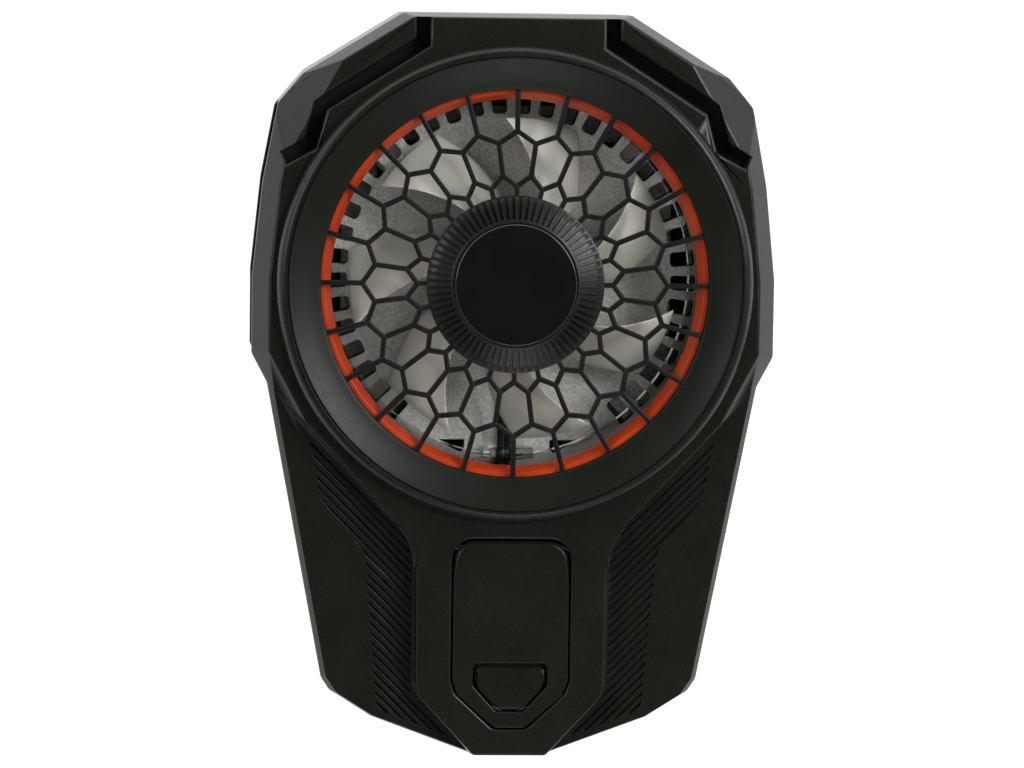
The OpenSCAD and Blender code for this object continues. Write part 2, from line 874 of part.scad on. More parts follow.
module rod_along_y(x, r, y0, y1) {
    translate([x, y1, rod_z])
        rotate([90, 0, 0])
            cylinder(r = r, h = y1 - y0);
}

// Front rings and grille
module bezel_ring() {
    color("#3b403d")
        rotate_extrude()
            polygon([
                [accent_out, grille_top], [grille_out + 2 * seat_gap, grille_top],
                [grille_out + 2 * seat_gap, bezel_seat], [bezel_out, bezel_seat],
                [bezel_out, bezel_z], [accent_out, bezel_z - bezel_dish]
            ]);
}

accent_land = 0.5;
accent_foot = 0.7;
module accent_ring() {
    color("#d8430f")
        rotate_extrude()
            polygon([
                [accent_r, accent_z], [accent_out, accent_z], [accent_out, grille_z],
                [accent_out - accent_land, grille_z], [accent_r, accent_z + accent_foot]
            ]);
}

block_half = 3.2;
block_in = 1;
block_h = 3;
module fan_shroud() {
    color("#d9dcda", 0.4) {
        ring(shroud_r, shroud_out, sink_top, accent_z - seat_gap);
        box([-block_half, block_half], [-shroud_r - blend, -shroud_r + block_in],
            [sink_top, sink_top + block_h]);
    }
}

// Cells between the grille's bars: an outer ring, a ring of hexagons and an inner ring
cell_step = 360 / spoke_count;
cell_reach = 0.5;
zig_step = 1.4;
zig_out = 5;
zig_in = 2.5;
zig_outer = accent_out - zig_out;
zig_inner = boss_r + zig_in;
zig = [zig_outer, zig_outer - zig_step, zig_inner, zig_inner - zig_step];
function outer_cell(k) = let (a = k * cell_step, edge = accent_out + cell_reach) [
    polar(zig[0], a), polar(edge, a), polar(edge, a + cell_step / 2),
    polar(edge, a + cell_step), polar(zig[0], a + cell_step), polar(zig[1], a + cell_step / 2)
];
function middle_cell(k) = let (a = k * cell_step) [
    polar(zig[2], a - cell_step / 2), polar(zig[1], a - cell_step / 2), polar(zig[0], a),
    polar(zig[1], a + cell_step / 2), polar(zig[2], a + cell_step / 2), polar(zig[3], a)
];
function inner_cell(k) = let (a = k * cell_step) [
    polar(boss_r, a), polar(zig[3], a), polar(zig[2], a + cell_step / 2),
    polar(zig[3], a + cell_step), polar(boss_r, a + cell_step)
];

module grille() {
    color("#191b1a")
        difference() {
            rod(grille_out, grille_z, grille_top);
            for (k = [0:spoke_count - 1]) {
                prism(inset(outer_cell(k), bar_w / 2), grille_z - 1, grille_top + 1);
                prism(inset(middle_cell(k), bar_w / 2), grille_z - 1, grille_top + 1);
                prism(inset(inner_cell(k), bar_w / 2), grille_z - 1, grille_top + 1);
            }
        }
}

knurl_depth = 0.3;
knurl_w = 0.36;
knurl_land = 0.5;
module hub_ring() {
    inner = disc_r + 2 * seat_gap;
    inner_z = grille_top + disc_h - blend;
    outer_z = grille_top + knurl_depth;
    color("#1b1d1c")
        difference() {
            rotate_extrude()
                polygon([
                    [inner, grille_top], [boss_r, grille_top], [boss_r, outer_z], [inner, inner_z]
                ]);
            for (k = [0:knurl_count - 1])
                rotate([0, 0, k * 360 / knurl_count])
                    translate([disc_r + knurl_land, 0, inner_z])
                        rotate([0, atan2(inner_z - outer_z, boss_r - inner), 0])
                            box([0, boss_r], [-knurl_w / 2, knurl_w / 2], [-knurl_depth, disc_h]);
        }
}

module hub_disc() {
    edge = 0.35;
    color("#0c0d0d")
        rotate_extrude()
            polygon([
                [0, grille_top], [disc_r, grille_top], [disc_r, grille_top + disc_h - edge],
                [disc_r - edge, grille_top + disc_h], [0, grille_top + disc_h]
            ]);
}

// Fan
blade_rings = 7;
blade_cols = 7;
blade_margin = 0.8;
blade_rise = fan_h - 2 * blade_margin;
blade_start = 80;
root_in = 0.4;
tip_flatten = 0.25;
function blade_point(i, j, side) =
    let (
        u = i / (blade_rings - 1),
        v = j / (blade_cols - 1),
        r = hub_r - root_in + (fan_r - hub_r + root_in) * u,
        a = blade_sweep * (u - 1) + blade_chord * (v - 0.5),
        z = fan_z + fan_h / 2 + blade_rise * (v - 0.5) * (1 - tip_flatten * u) + side * blade_t / 2
    )
    [r * cos(a), r * sin(a), z];

module blade() {
    n = blade_cols;
    half = blade_rings * n;
    last = blade_rings - 1;
    points = [for (side = [1, -1], i = [0:last], j = [0:n - 1]) blade_point(i, j, side)];
    faces = [
        for (i = [0:last - 1], j = [0:n - 2])
            let (a = i * n + j)
            each [
                [a, a + n + 1, a + n], [a, a + 1, a + n + 1],
                [half + a, half + a + n, half + a + n + 1], [half + a, half + a + n + 1, half + a + 1]
            ]
    ];
    ends = [
        for (j = [0:n - 2])
            let (b = last * n + j)
            each [
                [j, half + j, half + j + 1], [j, half + j + 1, j + 1],
                [b, half + b + 1, half + b], [b, b + 1, half + b + 1]
            ]
    ];
    edges = [
        for (i = [0:last - 1])
            let (
                a = i * n,
                b = i * n + n - 1
            )
            each [
                [a, a + n, half + a + n], [a, half + a + n, half + a],
                [b, half + b + n, b + n], [b, half + b, half + b + n]
            ]
    ];
    polyhedron(points, concat(faces, ends, edges));
}

hub_wall = 0.8;
cup_r = hub_r - hub_wall;
hub_top_t = 1;
shaft_in = 0.6;
cup_top = fan_top - hub_top_t;
module impeller() {
    color("#a5a498") {
        difference() {
            union() {
                rod(hub_r, fan_z, fan_top);
                for (k = [0:blade_count - 1])
                    rotate([0, 0, blade_start + k * 360 / blade_count])
                        blade();
            }
            rod(cup_r, fan_z - 2, cup_top);
            rod(shaft_r, cup_top - 1, cup_top + shaft_in);
        }
    }
}

module rotor_yoke() {
    color("#8d9196")
        difference() {
            rod(cup_r, fan_z, cup_top);
            rod(cup_r - yoke_t, fan_z - 1, cup_top - yoke_t);
            rod(shaft_r, fan_z, cup_top + 1);
        }
}

magnet_r = cup_r - yoke_t;
magnet_gap = 0.2;
module magnet_ring() {
    color("#4a4543")
        ring(magnet_r - magnet_t, magnet_r, fan_z + 2 * magnet_gap, cup_top - yoke_t - magnet_gap);
}

shaft_floor = 1.6;
shaft_z = sink_z + shaft_floor;
clip_in = 0.2;
clip_z = shaft_z + clip_in;
clip_t = 0.4;
clip_w = 0.7;
clip_groove = 0.15;
bush_z = clip_z + clip_t + slide_gap;
bush_r = shaft_r + run_fit + bush_t;
bush_gap = 0.6;
bush_top = cup_top - yoke_t - bush_gap;
module fan_shaft() {
    color("#c9ccd0")
        difference() {
            rod(shaft_r, shaft_z, cup_top + shaft_in);
            ring(shaft_r - clip_groove, shaft_r + 1, clip_z, clip_z + clip_t);
        }
}

module shaft_clip() {
    color("#777b80")
        ring(shaft_r - clip_groove, shaft_r + clip_w, clip_z, clip_z + clip_t);
}

module bearing_bush() {
    color("#b58a3f")
        ring(shaft_r + run_fit, bush_r, bush_z, bush_top);
}

// Stator with four poles, each wound with its own coil
pole_count = 4;
core_lift = 0.9;
core_z = fan_z + core_lift;
core_room = 4.6;
core_h = fan_h - core_room;
arm_w = 1.8;
coil_t = 0.8;
core_ring = 1.2;
air_gap = 0.5;
shoe_t = 1;
shoe_r = magnet_r - magnet_t - air_gap;
shoe_share = 0.55;
shoe_half = shoe_share * shoe_r;
module stator_core() {
    color("#9aa0a5")
        difference() {
            union() {
                rod(bush_r + core_ring, core_z, core_z + core_h);
                for (k = [0:pole_count - 1])
                    rotate([0, 0, k * 360 / pole_count]) {
                        box([0, shoe_r - shoe_t / 2], [-arm_w / 2, arm_w / 2], [core_z, core_z + core_h]);
                        intersection() {
                            ring(shoe_r - shoe_t, shoe_r, core_z, core_z + core_h);
                            box([0, shoe_r + 1], [-shoe_half, shoe_half],
                                [core_z - 1, core_z + core_h + 1]);
                        }
                    }
            }
            rod(bush_r, core_z - 1, core_z + core_h + 1);
        }
}

module stator_coils() {
    x0 = bush_r + core_ring + blend;
    w = arm_w / 2 + seat_gap;
    x1 = sqrt(pow(shoe_r - shoe_t, 2) - pow(w + coil_t, 2)) - blend;
    color("#b5622c")
        for (k = [0:pole_count - 1])
            rotate([0, 0, k * 360 / pole_count])
                difference() {
                    box([x0, x1], [-w - coil_t, w + coil_t],
                        [core_z - seat_gap - coil_t, core_z + core_h + seat_gap + coil_t]);
                    box([x0 - 1, x1 + 1], [-w, w], [core_z - seat_gap, core_z + core_h + seat_gap]);
                }
}

fan_pcb_in = 1;
fan_pcb_r = cup_r - fan_pcb_in;
module fan_pcb() {
    color("#1f5a35")
        ring(bush_r + seat_gap, fan_pcb_r, sink_top, sink_top + fan_pcb_t);
}

// Heat sink
core_in = 0.3;
ear_wall = 0.3;
ear_half = head_r + ear_wall;
bush_ledge = 0.5;
module at_ears() {
    for (k = [0:3])
        rotate([0, 0, 45 + 90 * k])
            translate([ear_r, 0, 0])
                children();
}

module heatsink() {
    color("#c3c6c6")
        difference() {
            union() {
                difference() {
                    rod(sink_r, rim_z, sink_top);
                    for (k = [0:slot_count - 1])
                        if (abs(slot_angle(k) - 270) > bay_angle)
                            rotate([0, 0, slot_angle(k)])
                                rim_slot();
                }
                rod(slot_r - core_in, sink_z, sink_top);
                at_ears() {
                    box([-ear_r, 0], [-ear_half, ear_half], [sink_z, sink_z + ear_t]);
                    rod(ear_half, sink_z, sink_z + ear_t);
                }
            }
            rim_bays();
            lead_groove();
            rod(bush_r, bush_z, sink_top + 1);
            rod(bush_r - bush_ledge, shaft_z - tip_clear, bush_z + eps);
            at_ears()
                rod(screw_r + seat_gap, sink_z - 1, sink_top);
        }
}

slot_start = 6;
bay_angle = 36;
function slot_angle(k) = slot_start + k * 360 / slot_count;
slot_round = 0.5;
module rim_slot() {
    half = slot_w / 2;
    corner = [slot_r + slot_round, half - slot_round];
    prism(concat(
        [[sink_r + 1, half]],
        arc(corner, slot_round, 90, 180, 4),
        arc([corner.x, -corner.y], slot_round, 180, 270, 4),
        [[sink_r + 1, -half]]
    ), rim_z - 1, sink_top + 1);
}

// Bays in the rim at the bottom, and a flat edge between them
bay_step = 5.4;
bay_out = 10.4;
bay_in = 0.4;
bridge_in = 2;
module rim_bays() {
    z = [sink_z - 1, sink_top + 1];
    box([-bay_step, bay_step], [-sink_r - 1, -(slot_r + bridge_in)], z);
    for (s = sides)
        box([min(s * bay_step, s * bay_out), max(s * bay_step, s * bay_out)],
            [-sink_r - 1, -(slot_r + bay_in)], z);
}

// Groove for the fan's leads
groove_left = 3;
groove_right = 1;
groove_h = 0.9;
module lead_groove() {
    box([-groove_left, groove_right], [-sink_r - 1, -(cup_r + slide_gap)],
        [sink_top - groove_h, sink_top + 1]);
}

module heatsink_screws() {
    color("#6d7277")
        at_ears()
            mirror([0, 0, 1])
                screw(-(sink_z + ear_t), -(floor_z + tip_clear));
}

// Cooling module
module tec_plate(z) {
    box([-tec_w / 2, tec_w / 2], [-tec_w / 2, tec_w / 2], [z, z + tec_plate_t]);
}

module thermal_sheet() {
    color("#5b5f63")
        box([-tec_w / 2, tec_w / 2], [-tec_w / 2, tec_w / 2], [sheet_z, sink_z]);
}

module tec_hot_plate() {
    color("#eeeeea")
        tec_plate(hot_z);
}

module tec_cold_plate() {
    color("#f2f2ee")
        tec_plate(tec_z);
}

pellet_edge = 0.4;
pellet_fill = 0.55;
module tec_pellets() {
    pitch = tec_w / (pellet_rows + pellet_edge);
    size = pitch * pellet_fill;
    color("#54585e")
        for (i = [0:pellet_rows - 1], j = [0:pellet_rows - 1])
            translate([(i - (pellet_rows - 1) / 2) * pitch, (j - (pellet_rows - 1) / 2) * pitch, pellet_z])
                translate([-size / 2, -size / 2, 0])
                    cube([size, size, pellet_h]);
}

lead_x = 8;
lead_room = 0.3;
lead_slot = lead_r + lead_room;
foam_gap = 0.5;
module insulation_frame() {
    half = tec_w / 2 + foam_gap;
    color("#2d2f31")
        difference() {
            box([-foam_half, foam_half], [-foam_half, foam_half], [tec_z, sink_z]);
            box([-half, half], [-half, half], [tec_z - 1, sink_z + 1]);
            for (s = sides)
                box([s * lead_x - lead_slot, s * lead_x + lead_slot], [-foam_half - 1, 0],
                    [pellet_z + tip_clear, hot_z - tip_clear]);
        }
}

module cold_plate() {
    color("#b9bdc0")
        difference() {
            union() {
                box([-flange_half, flange_half], [-flange_half, flange_half], [floor_z, tec_z]);
                box([-window_half + slide_gap, window_half - slide_gap],
                    [-window_half + slide_gap, window_half - slide_gap], [pad_t, floor_z + eps]);
            }
            at_ears()
                rod(screw_r, floor_z - 1, tec_z + 1);
        }
}

pad_corner = 2;
module contact_pad() {
    half = window_half - slide_gap;
    color("#8b9094")
        prism(round_rect(half, half, pad_corner), 0, pad_t);
}

// Leads inside the body: from the fan board over the heat sink, and from the module round the clamp
lead_rest = 0.02;
lead_pitch = 0.9;
lead_shift = 0.35;
module fan_leads() {
    z = sink_top + lead_r + lead_rest;
    low = z - groove_h;
    start = cup_r - fan_pcb_in + 0.1;
    edge = slot_r + bridge_in + lead_r + 0.2;
    over = slider_top + lead_r + 0.4;
    top = pcb_z + pcb_t + lead_r + lead_rest;
    for (s = sides)
        color(s < 0 ? "#3f403d" : "#171717")
            translate([s * lead_pitch / 2 - lead_shift, 0, 0])
                tube([
                    [0, -start, z],
                    [0, -(cup_r + 0.8), z],
                    [0, -(cup_r + 2.2), low],
                    [0, -(edge - 0.5), low],
                    [0, -(edge - 0.05), low - 0.3],
                    [0, -(edge + 0.15), low - 0.9],
                    [0, -(edge + 0.3), over + 0.9],
                    [0, -(edge + 1.3), over + 0.1],
                    [0, -(pcb_top - 3.4), over + 0.1],
                    [0, -(pcb_top - 2), (over + top) / 2],
                    [0, -(pcb_top - 0.7), top],
                    [0, -(pcb_top + 2), top]
                ], lead_r, [1, 0, 0]);
}

module tec_leads() {
    z = (pellet_z + hot_z) / 2;
    top = pcb_z + pcb_t + lead_r + lead_rest;
    out = slider_half + 3;
    for (s = sides)
        color(s < 0 ? "#b3241c" : "#202020")
            tube([
                [s * lead_x, -(tec_w / 2 - 0.3), z],
                [s * lead_x, -(foam_half + 1), z],
                [s * (lead_x + 2.5), -(foam_half + 3.5), z],
                [s * (out - 1), -(rib_y + 0.5), z + 0.2],
                [s * out, -(rib_y + 4), z + 1.8],
                [s * out, -(pcb_top - 2.5), top - 2],
                [s * (out - 1), -(pcb_top + 0.2), top - 0.4],
                [s * (pcb_half + 0.6), -(pcb_top + 2), top],
                [s * (pcb_half - 1.6), -(pcb_top + 2.6), top]
            ], lead_r, [0, 0, 1]);
}

// Electronics
module main_pcb() {
    color("#1d5b3a")
        difference() {
            box([-pcb_half, pcb_half], [-pcb_end, -pcb_top], [pcb_z, pcb_z + pcb_t]);
            at_posts()
                rod(small_r + seat_gap, pcb_z - 1, pcb_z + pcb_t + 1);
        }
}

module pcb_screws() {
    color("#6d7277")
        at_posts()
            screw(pcb_z, pcb_screw_top, small_r, small_head_r, small_head_h);
}

tongue_half = 3.1;
tongue_t = 0.7;
tongue_in = 0.9;
module usb_port() {
    shell_t = 0.3;
    front = -(bottom_y - port_in);
    mid_z = port_z + port_h / 2;
    color("#b7bbbf") {
        difference() {
            intersection() {
                port_outline(0);
                box([-far, far], [front, front + port_d], [0, far]);
            }
            translate([0, front + port_d - 1, 0])
                port_outline(-shell_t);
        }
        box([-tongue_half, tongue_half], [front + tongue_in, front + port_d - shell_t],
            [mid_z - tongue_t / 2, mid_z + tongue_t / 2]);
    }
}

module case_screws() {
    color("#4a4d50")
        at_case_screws()
            screw(case_head_z, case_screw_top);
}

// Clamp
module jaw(half, s, face, plate_y) {
    wall_y = face + s * jaw_pad;
    outer_y = wall_y + s * jaw_wall;
    tip = face - s * lip_reach;
    box([-half, half], [min(plate_y, outer_y), max(plate_y, outer_y)], [standoff, standoff + jaw_plate]);
    box([-half, half], [min(wall_y, outer_y), max(wall_y, outer_y)], [lip_z, standoff + jaw_plate]);
    box([-half, half], [min(tip, outer_y), max(tip, outer_y)], [lip_z, lip_z + lip_t]);
}

pad_in = 1;
pad_low = 0.3;
pad_high = 0.5;
module jaw_face_pad(half, s, face) {
    back = face + s * jaw_pad;
    box([-half + pad_in, half - pad_in], [min(face, back), max(face, back)],
        [lip_z + lip_t + pad_low, -pad_high]);
}

module upper_jaw() {
    color("#1f2322")
        difference() {
            jaw(upper_jaw_half, 1, upper_face, jaw_end);
            at_jaw_screws() {
                rod(screw_r + seat_gap, 0, part_z);
                rod(head_r + seat_gap, 0, jaw_head_z);
            }
        }
}

module upper_jaw_pad() {
    color("#3a3d3f")
        jaw_face_pad(upper_jaw_half, 1, upper_face);
}

module upper_jaw_screws() {
    color("#6d7277")
        at_jaw_screws()
            screw(jaw_head_z, jaw_screw_top);
}

module at_slider_screws() {
    for (s = sides)
        translate([s * leg_x, -(slider_y + slider_t / 2), 0])
            children();
}

module lower_jaw() {
    color("#1f2322")
        difference() {
            union() {
                jaw(lower_jaw_half, -1, lower_face, plate_top);
                for (s = sides)
                    box([s * leg_x - leg_w / 2, s * leg_x + leg_w / 2], [-slider_end, -slider_y],
                        [standoff + jaw_plate - eps, slider_z]);
            }
            at_slider_screws() {
                rod(small_r + seat_gap, 0, part_z);
                rod(small_head_r + seat_gap, 0, slider_head_z);
            }
        }
}

module lower_jaw_pad() {
    color("#3a3d3f")
        jaw_face_pad(lower_jaw_half, -1, lower_face);
}

slider_screw_low = 0.8;
slider_screw_top = slider_top - slider_screw_low;
module slider() {
    color("#d6d2c4")
        difference() {
            box([-slider_half, slider_half], [-slider_end, -slider_y], [slider_z, slider_top]);
            for (s = sides)
                rod_along_y(s * rod_x, rod_r + run_fit, -slider_end - 1, -slider_y + 1);
            at_slider_screws()
                rod(small_r, slider_z - 1, slider_screw_top + tip_clear);
        }
}

module slider_screws() {
    color("#6d7277")
        at_slider_screws()
            screw(slider_head_z, slider_screw_top, small_r, small_head_r, small_head_h);
}

module guide_rods() {
    color("#c9ccd0")
        for (s = sides)
            rod_along_y(s * rod_x, rod_r, -spring_end - rod_seat, -(rib_y + rib_t - rod_seat));
}

// Clamp springs: one unbroken helix each, round a guide rod
curl_rings = 8;
wire_sides = 6;
coil_gap = 0.35;
coil_r = rod_r + wire_r + coil_gap;
function spring_path(x) =
    let (
        y0 = -slider_end - wire_r - seat_gap,
        y1 = -spring_end + wire_r + seat_gap,
        n = curl_count * curl_rings
    )
    [for (i = [0:n]) let (a = 360 * i / curl_rings) [
        x + coil_r * cos(a), y0 + (y1 - y0) * i / n, rod_z + coil_r * sin(a)
    ]];

module clamp_springs() {
    path = spring_path(rod_x);
    gaps = [for (i = [0:len(path) - 1 - curl_rings]) norm(path[i + curl_rings] - path[i]) - 2 * wire_r];
    echo(least_spring_gap = min(gaps));
    color("#b9bdc2")
        for (s = sides)
            tube(spring_path(s * rod_x), wire_r, [0, 1, 0], wire_sides);
}

// Stand: a leg hinged at its top edge, with a latch tab near its tip
tip_half = 1.9;
tip_rise = 4.3;
knee_rise = 5.9;
stand_taper = 0.5;
tab_tip_half = 1.6;
tab_rise = 3.1;
tab_fall = 0.45;
tip_round = 1;
tab_round = 0.5;
nail_gap = 0.25;
function stand_half_outline() =
    let (
        tip = [tip_half, -tip_y],
        knee = [stand_half - stand_taper, -(tip_y - tip_rise)],
        side = [stand_half, -(tip_y - knee_rise)]
    )
    concat(
        fillet([-tip.x, tip.y], tip, knee, tip_round),
        fillet(tip, knee, side, tip_round),
        [side],
        arc([stand_half - stand_corner, -stand_y - stand_corner], stand_corner, 0, 90, 6)
    );
function stand_outline() = outline(stand_half_outline());
function at_hinge(p) = p.y + sign(p.x) * eps > -stand_y - stand_corner;
function tab_outline() =
    let (
        tip = [tab_tip_half, -tab_y],
        knee = [tab_half, -(tab_y - tab_rise)],
        head = [tab_half, -(tab_y - tab_len)]
    )
    outline(concat(
        fillet([-tip.x, tip.y], tip, knee, tab_round),
        fillet(tip, knee, head, tab_round),
        fillet(knee, head, [-head.x, head.y], tab_round)
    ));

module stand_pin_at(r, half) {
    translate([-half, hinge_y, hinge_z])
        rotate([0, 90, 0])
            cylinder(r = r, h = 2 * half);
}

module stand_leg() {
    points = stand_outline();
    color("#2b2f2d")
        difference() {
            bevelled(points, [for (p = points) at_hinge(p) ? stand_bevel : stand_edge],
                stand_bevel, leg_z, front_z);
            stand_pin_at(pin_r + run_fit, far / 2);
            for (up = [0, nail_gap])
                translate([0, up, 0])
                    prism(inset(tab_outline(), -slide_gap), leg_z - 1, front_z + 1);
            prism(inset(tab_outline(), -flange_w - slide_gap), leg_z - 1, tab_seat);
        }
}

module stand_pin() {
    color("#c9ccd0")
        stand_pin_at(pin_r, stand_half + pin_reach);
}

// Back plate, which stops short of the hinge
plate_in = 0.4;
plate_start = 3.5;
function back_plate_outline() = outline([
    [tip_half, -tip_y],
    [stand_half - stand_taper, -(tip_y - tip_rise)],
    [stand_half - stand_taper, -(stand_y + plate_start)]
]);

module stand_back_plate() {
    color("#6d7277")
        prism(inset(back_plate_outline(), plate_in), stand_back_z, leg_z);
}

// Latch spring: a bowed strip between the back plate and the tab
strip_t = 0.12;
strip_w = 1.6;
strip_up = 4.6;
bow_steps = 8;
module latch_spring() {
    reach = tab_half - flange_w;
    rise = tab_flange_z - leg_z - strip_t - 2 * eps;
    bow = [for (i = [0:bow_steps]) let (t = 2 * i / bow_steps - 1) [t * reach, rise * (1 - t * t)]];
    points = concat(bow, [for (i = [bow_steps:-1:0]) bow[i] + [0, strip_t]]);
    color("#b9bdc2")
        translate([0, -(tab_y - strip_up), leg_z])
            rotate([90, 0, 0])
                linear_extrude(strip_w, center = true)
                    polygon(points);
}

module latch_tab() {
    color("#303432")
        difference() {
            union() {
                prism(tab_outline(), tab_flange_z, tab_top);
                prism(inset(tab_outline(), -flange_w), tab_flange_z, tab_flange_z + tab_flange_t);
            }
            translate([0, -(tab_y - tab_len), tab_top - tab_fall])
                rotate([-atan2(tab_fall, tab_len - 2 * tab_fall), 0, 0])
                    translate([-far / 2, -far, 0])
                        cube([far, 2 * far, far]);
        }
}

front_shell();
rear_shell();
bezel_ring();
accent_ring();
grille();
hub_ring();
hub_disc();
fan_shroud();
impeller();
rotor_yoke();
magnet_ring();
fan_shaft();
shaft_clip();
bearing_bush();
stator_core();
stator_coils();
fan_pcb();
fan_leads();
heatsink();
heatsink_screws();
thermal_sheet();
tec_hot_plate();
tec_pellets();
tec_cold_plate();
tec_leads();
insulation_frame();
cold_plate();
contact_pad();
main_pcb();
pcb_screws();
usb_port();
case_screws();
upper_jaw();
upper_jaw_pad();
upper_jaw_screws();
lower_jaw();
lower_jaw_pad();
slider();
slider_screws();
guide_rods();
clamp_springs();
stand_leg();
stand_pin();
stand_back_plate();
latch_spring();
latch_tab();
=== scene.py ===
import json
import math

import bmesh
import bpy
from mathutils import Matrix, Vector


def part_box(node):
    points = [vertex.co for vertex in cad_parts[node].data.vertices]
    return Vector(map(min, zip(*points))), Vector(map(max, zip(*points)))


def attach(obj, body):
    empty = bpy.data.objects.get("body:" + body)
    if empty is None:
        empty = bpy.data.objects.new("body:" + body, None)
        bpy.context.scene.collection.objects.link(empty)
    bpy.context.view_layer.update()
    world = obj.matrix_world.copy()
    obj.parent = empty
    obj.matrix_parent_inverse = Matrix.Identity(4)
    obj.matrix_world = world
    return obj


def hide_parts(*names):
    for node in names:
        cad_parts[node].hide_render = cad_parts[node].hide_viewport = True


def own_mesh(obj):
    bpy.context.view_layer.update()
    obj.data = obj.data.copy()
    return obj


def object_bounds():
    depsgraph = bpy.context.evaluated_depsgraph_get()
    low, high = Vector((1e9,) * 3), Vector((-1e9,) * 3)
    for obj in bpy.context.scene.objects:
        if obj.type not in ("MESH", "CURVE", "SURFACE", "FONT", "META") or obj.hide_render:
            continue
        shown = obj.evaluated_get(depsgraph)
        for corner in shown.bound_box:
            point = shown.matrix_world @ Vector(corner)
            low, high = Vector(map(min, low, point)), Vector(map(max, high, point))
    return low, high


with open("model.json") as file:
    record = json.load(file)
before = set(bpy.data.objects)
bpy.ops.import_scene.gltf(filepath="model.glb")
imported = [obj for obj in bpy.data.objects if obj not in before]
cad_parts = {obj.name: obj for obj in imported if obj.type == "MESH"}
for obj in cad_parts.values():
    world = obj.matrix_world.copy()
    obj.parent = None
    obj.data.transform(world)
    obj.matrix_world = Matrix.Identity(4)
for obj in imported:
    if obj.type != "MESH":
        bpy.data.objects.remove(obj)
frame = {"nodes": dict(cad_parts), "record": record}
nodes = frame["nodes"]
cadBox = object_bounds()
scene = bpy.context.scene
mm = 0.001
weld = {"cad": 1.5e-6, "made": 1e-7, "blade": 1e-6}  # points this close join, in metres
quarter = [math.radians(t) for t in (0, 30, 60, 90)]  # steps of a rounded edge
bodyOf = {n: b for b, members in frame["record"]["behaviour"]["bodies"].items() for n in members}
print("frame:", len(nodes), "nodes")


# materials, all in object coordinates, sizes in metres
def newFinish(name, rough, metallic=0.0, **sockets):
    material = bpy.data.materials.new(name)
    material.use_nodes = True
    tree = material.node_tree
    shader = tree.nodes["Principled BSDF"]
    shader.inputs["Roughness"].default_value = rough
    shader.inputs["Metallic"].default_value = metallic
    for key, value in sockets.items():
        shader.inputs[key.replace("_", " ")].default_value = value
    place = tree.nodes.new("ShaderNodeTexCoord").outputs["Object"]
    return material, tree, shader, place


def noise(tree, place, size, detail=2.0, stretch=None):
    if stretch:  # longer grain along one axis
        turn = tree.nodes.new("ShaderNodeMapping")
        turn.inputs["Scale"].default_value = stretch
        tree.links.new(place, turn.inputs["Vector"])
        place = turn.outputs["Vector"]
    node = tree.nodes.new("ShaderNodeTexNoise")
    node.inputs["Scale"].default_value = 1 / size
    node.inputs["Detail"].default_value = detail
    tree.links.new(place, node.inputs["Vector"])
    return node.outputs["Fac"]


def cells(tree, place, size):
    node = tree.nodes.new("ShaderNodeTexVoronoi")
    node.inputs["Scale"].default_value = 1 / size
    tree.links.new(place, node.inputs["Vector"])
    return node


def tones(tree, value, socket, low, high, span=(0.3, 0.7)):
    ramp = tree.nodes.new("ShaderNodeValToRGB")
    for stop, at, colour in zip(ramp.color_ramp.elements, span, (low, high)):
        stop.position = at
        stop.color = (*colour, 1)
    tree.links.new(value, ramp.inputs["Fac"])
    tree.links.new(ramp.outputs["Color"], socket)


def spread(tree, value, socket, low, high, span=(0.3, 0.7)):
    node = tree.nodes.new("ShaderNodeMapRange")
    for key, number in zip(("From Min", "From Max", "To Min", "To Max"), (*span, low, high)):
        node.inputs[key].default_value = number
    tree.links.new(value, node.inputs["Value"])
    tree.links.new(node.outputs["Result"], socket)


def relief(tree, value, shader, depth):
    node = tree.nodes.new("ShaderNodeBump")
    node.inputs["Strength"].default_value = 1.0
    node.inputs["Distance"].default_value = depth
    tree.links.new(value, node.inputs["Height"])
    tree.links.new(node.outputs["Normal"], shader.inputs["Normal"])


def moulded(name, low, high, rough, grain, depth, patch=0.006, **sockets):
    material, tree, shader, place = newFinish(name, rough[0], **sockets)
    tones(tree, noise(tree, place, patch, 3), shader.inputs["Base Color"], low, high)
    spread(tree, noise(tree, place, grain * 2), shader.inputs["Roughness"], *rough)
    relief(tree, noise(tree, place, grain, 1), shader, depth)
    return material


def metal(name, low, high, rough, grain, depth, stretch=None):
    material, tree, shader, place = newFinish(name, rough[0], metallic=1.0)
    streak = noise(tree, place, grain, 3, stretch)
    tones(tree, streak, shader.inputs["Base Color"], low, high)
    spread(tree, streak, shader.inputs["Roughness"], *rough)
    relief(tree, streak, shader, depth)
    return material


def blastedWithWallShade(name, low, high, wallShade, rough, grit, depth):
    material, tree, shader, place = newFinish(name, rough[0], metallic=0.3)
    grains = cells(tree, place, grit)
    split = tree.nodes.new("ShaderNodeSeparateColor")
    tree.links.new(grains.outputs["Color"], split.inputs["Color"])
    side = tree.nodes.new("ShaderNodeSeparateXYZ")  # painted shade: upright walls get a near-black colour as if in shadow, level faces keep the bright grain
    tree.links.new(place.node.outputs["Normal"], side.inputs[0])
    wallShadeMask = tree.nodes.new("ShaderNodeMath")
    wallShadeMask.operation = "ABSOLUTE"
    tree.links.new(side.outputs["Z"], wallShadeMask.inputs[0])
    # the near-black wall colour is painted shade, mixed in where the surface stands upright
    coat = tree.nodes.new("ShaderNodeMixRGB")
    coat.inputs["Color1"].default_value = (*wallShade, 1)
    spread(tree, wallShadeMask.outputs[0], coat.inputs["Fac"], 0, 1, (0.15, 0.6))
    tones(tree, split.outputs["Red"], coat.inputs["Color2"], low, high, (0.05, 0.95))
    tree.links.new(coat.outputs["Color"], shader.inputs["Base Color"])
    spread(tree, split.outputs["Green"], shader.inputs["Roughness"], *rough, (0, 1))
    relief(tree, split.outputs["Blue"], shader, depth)
    return material


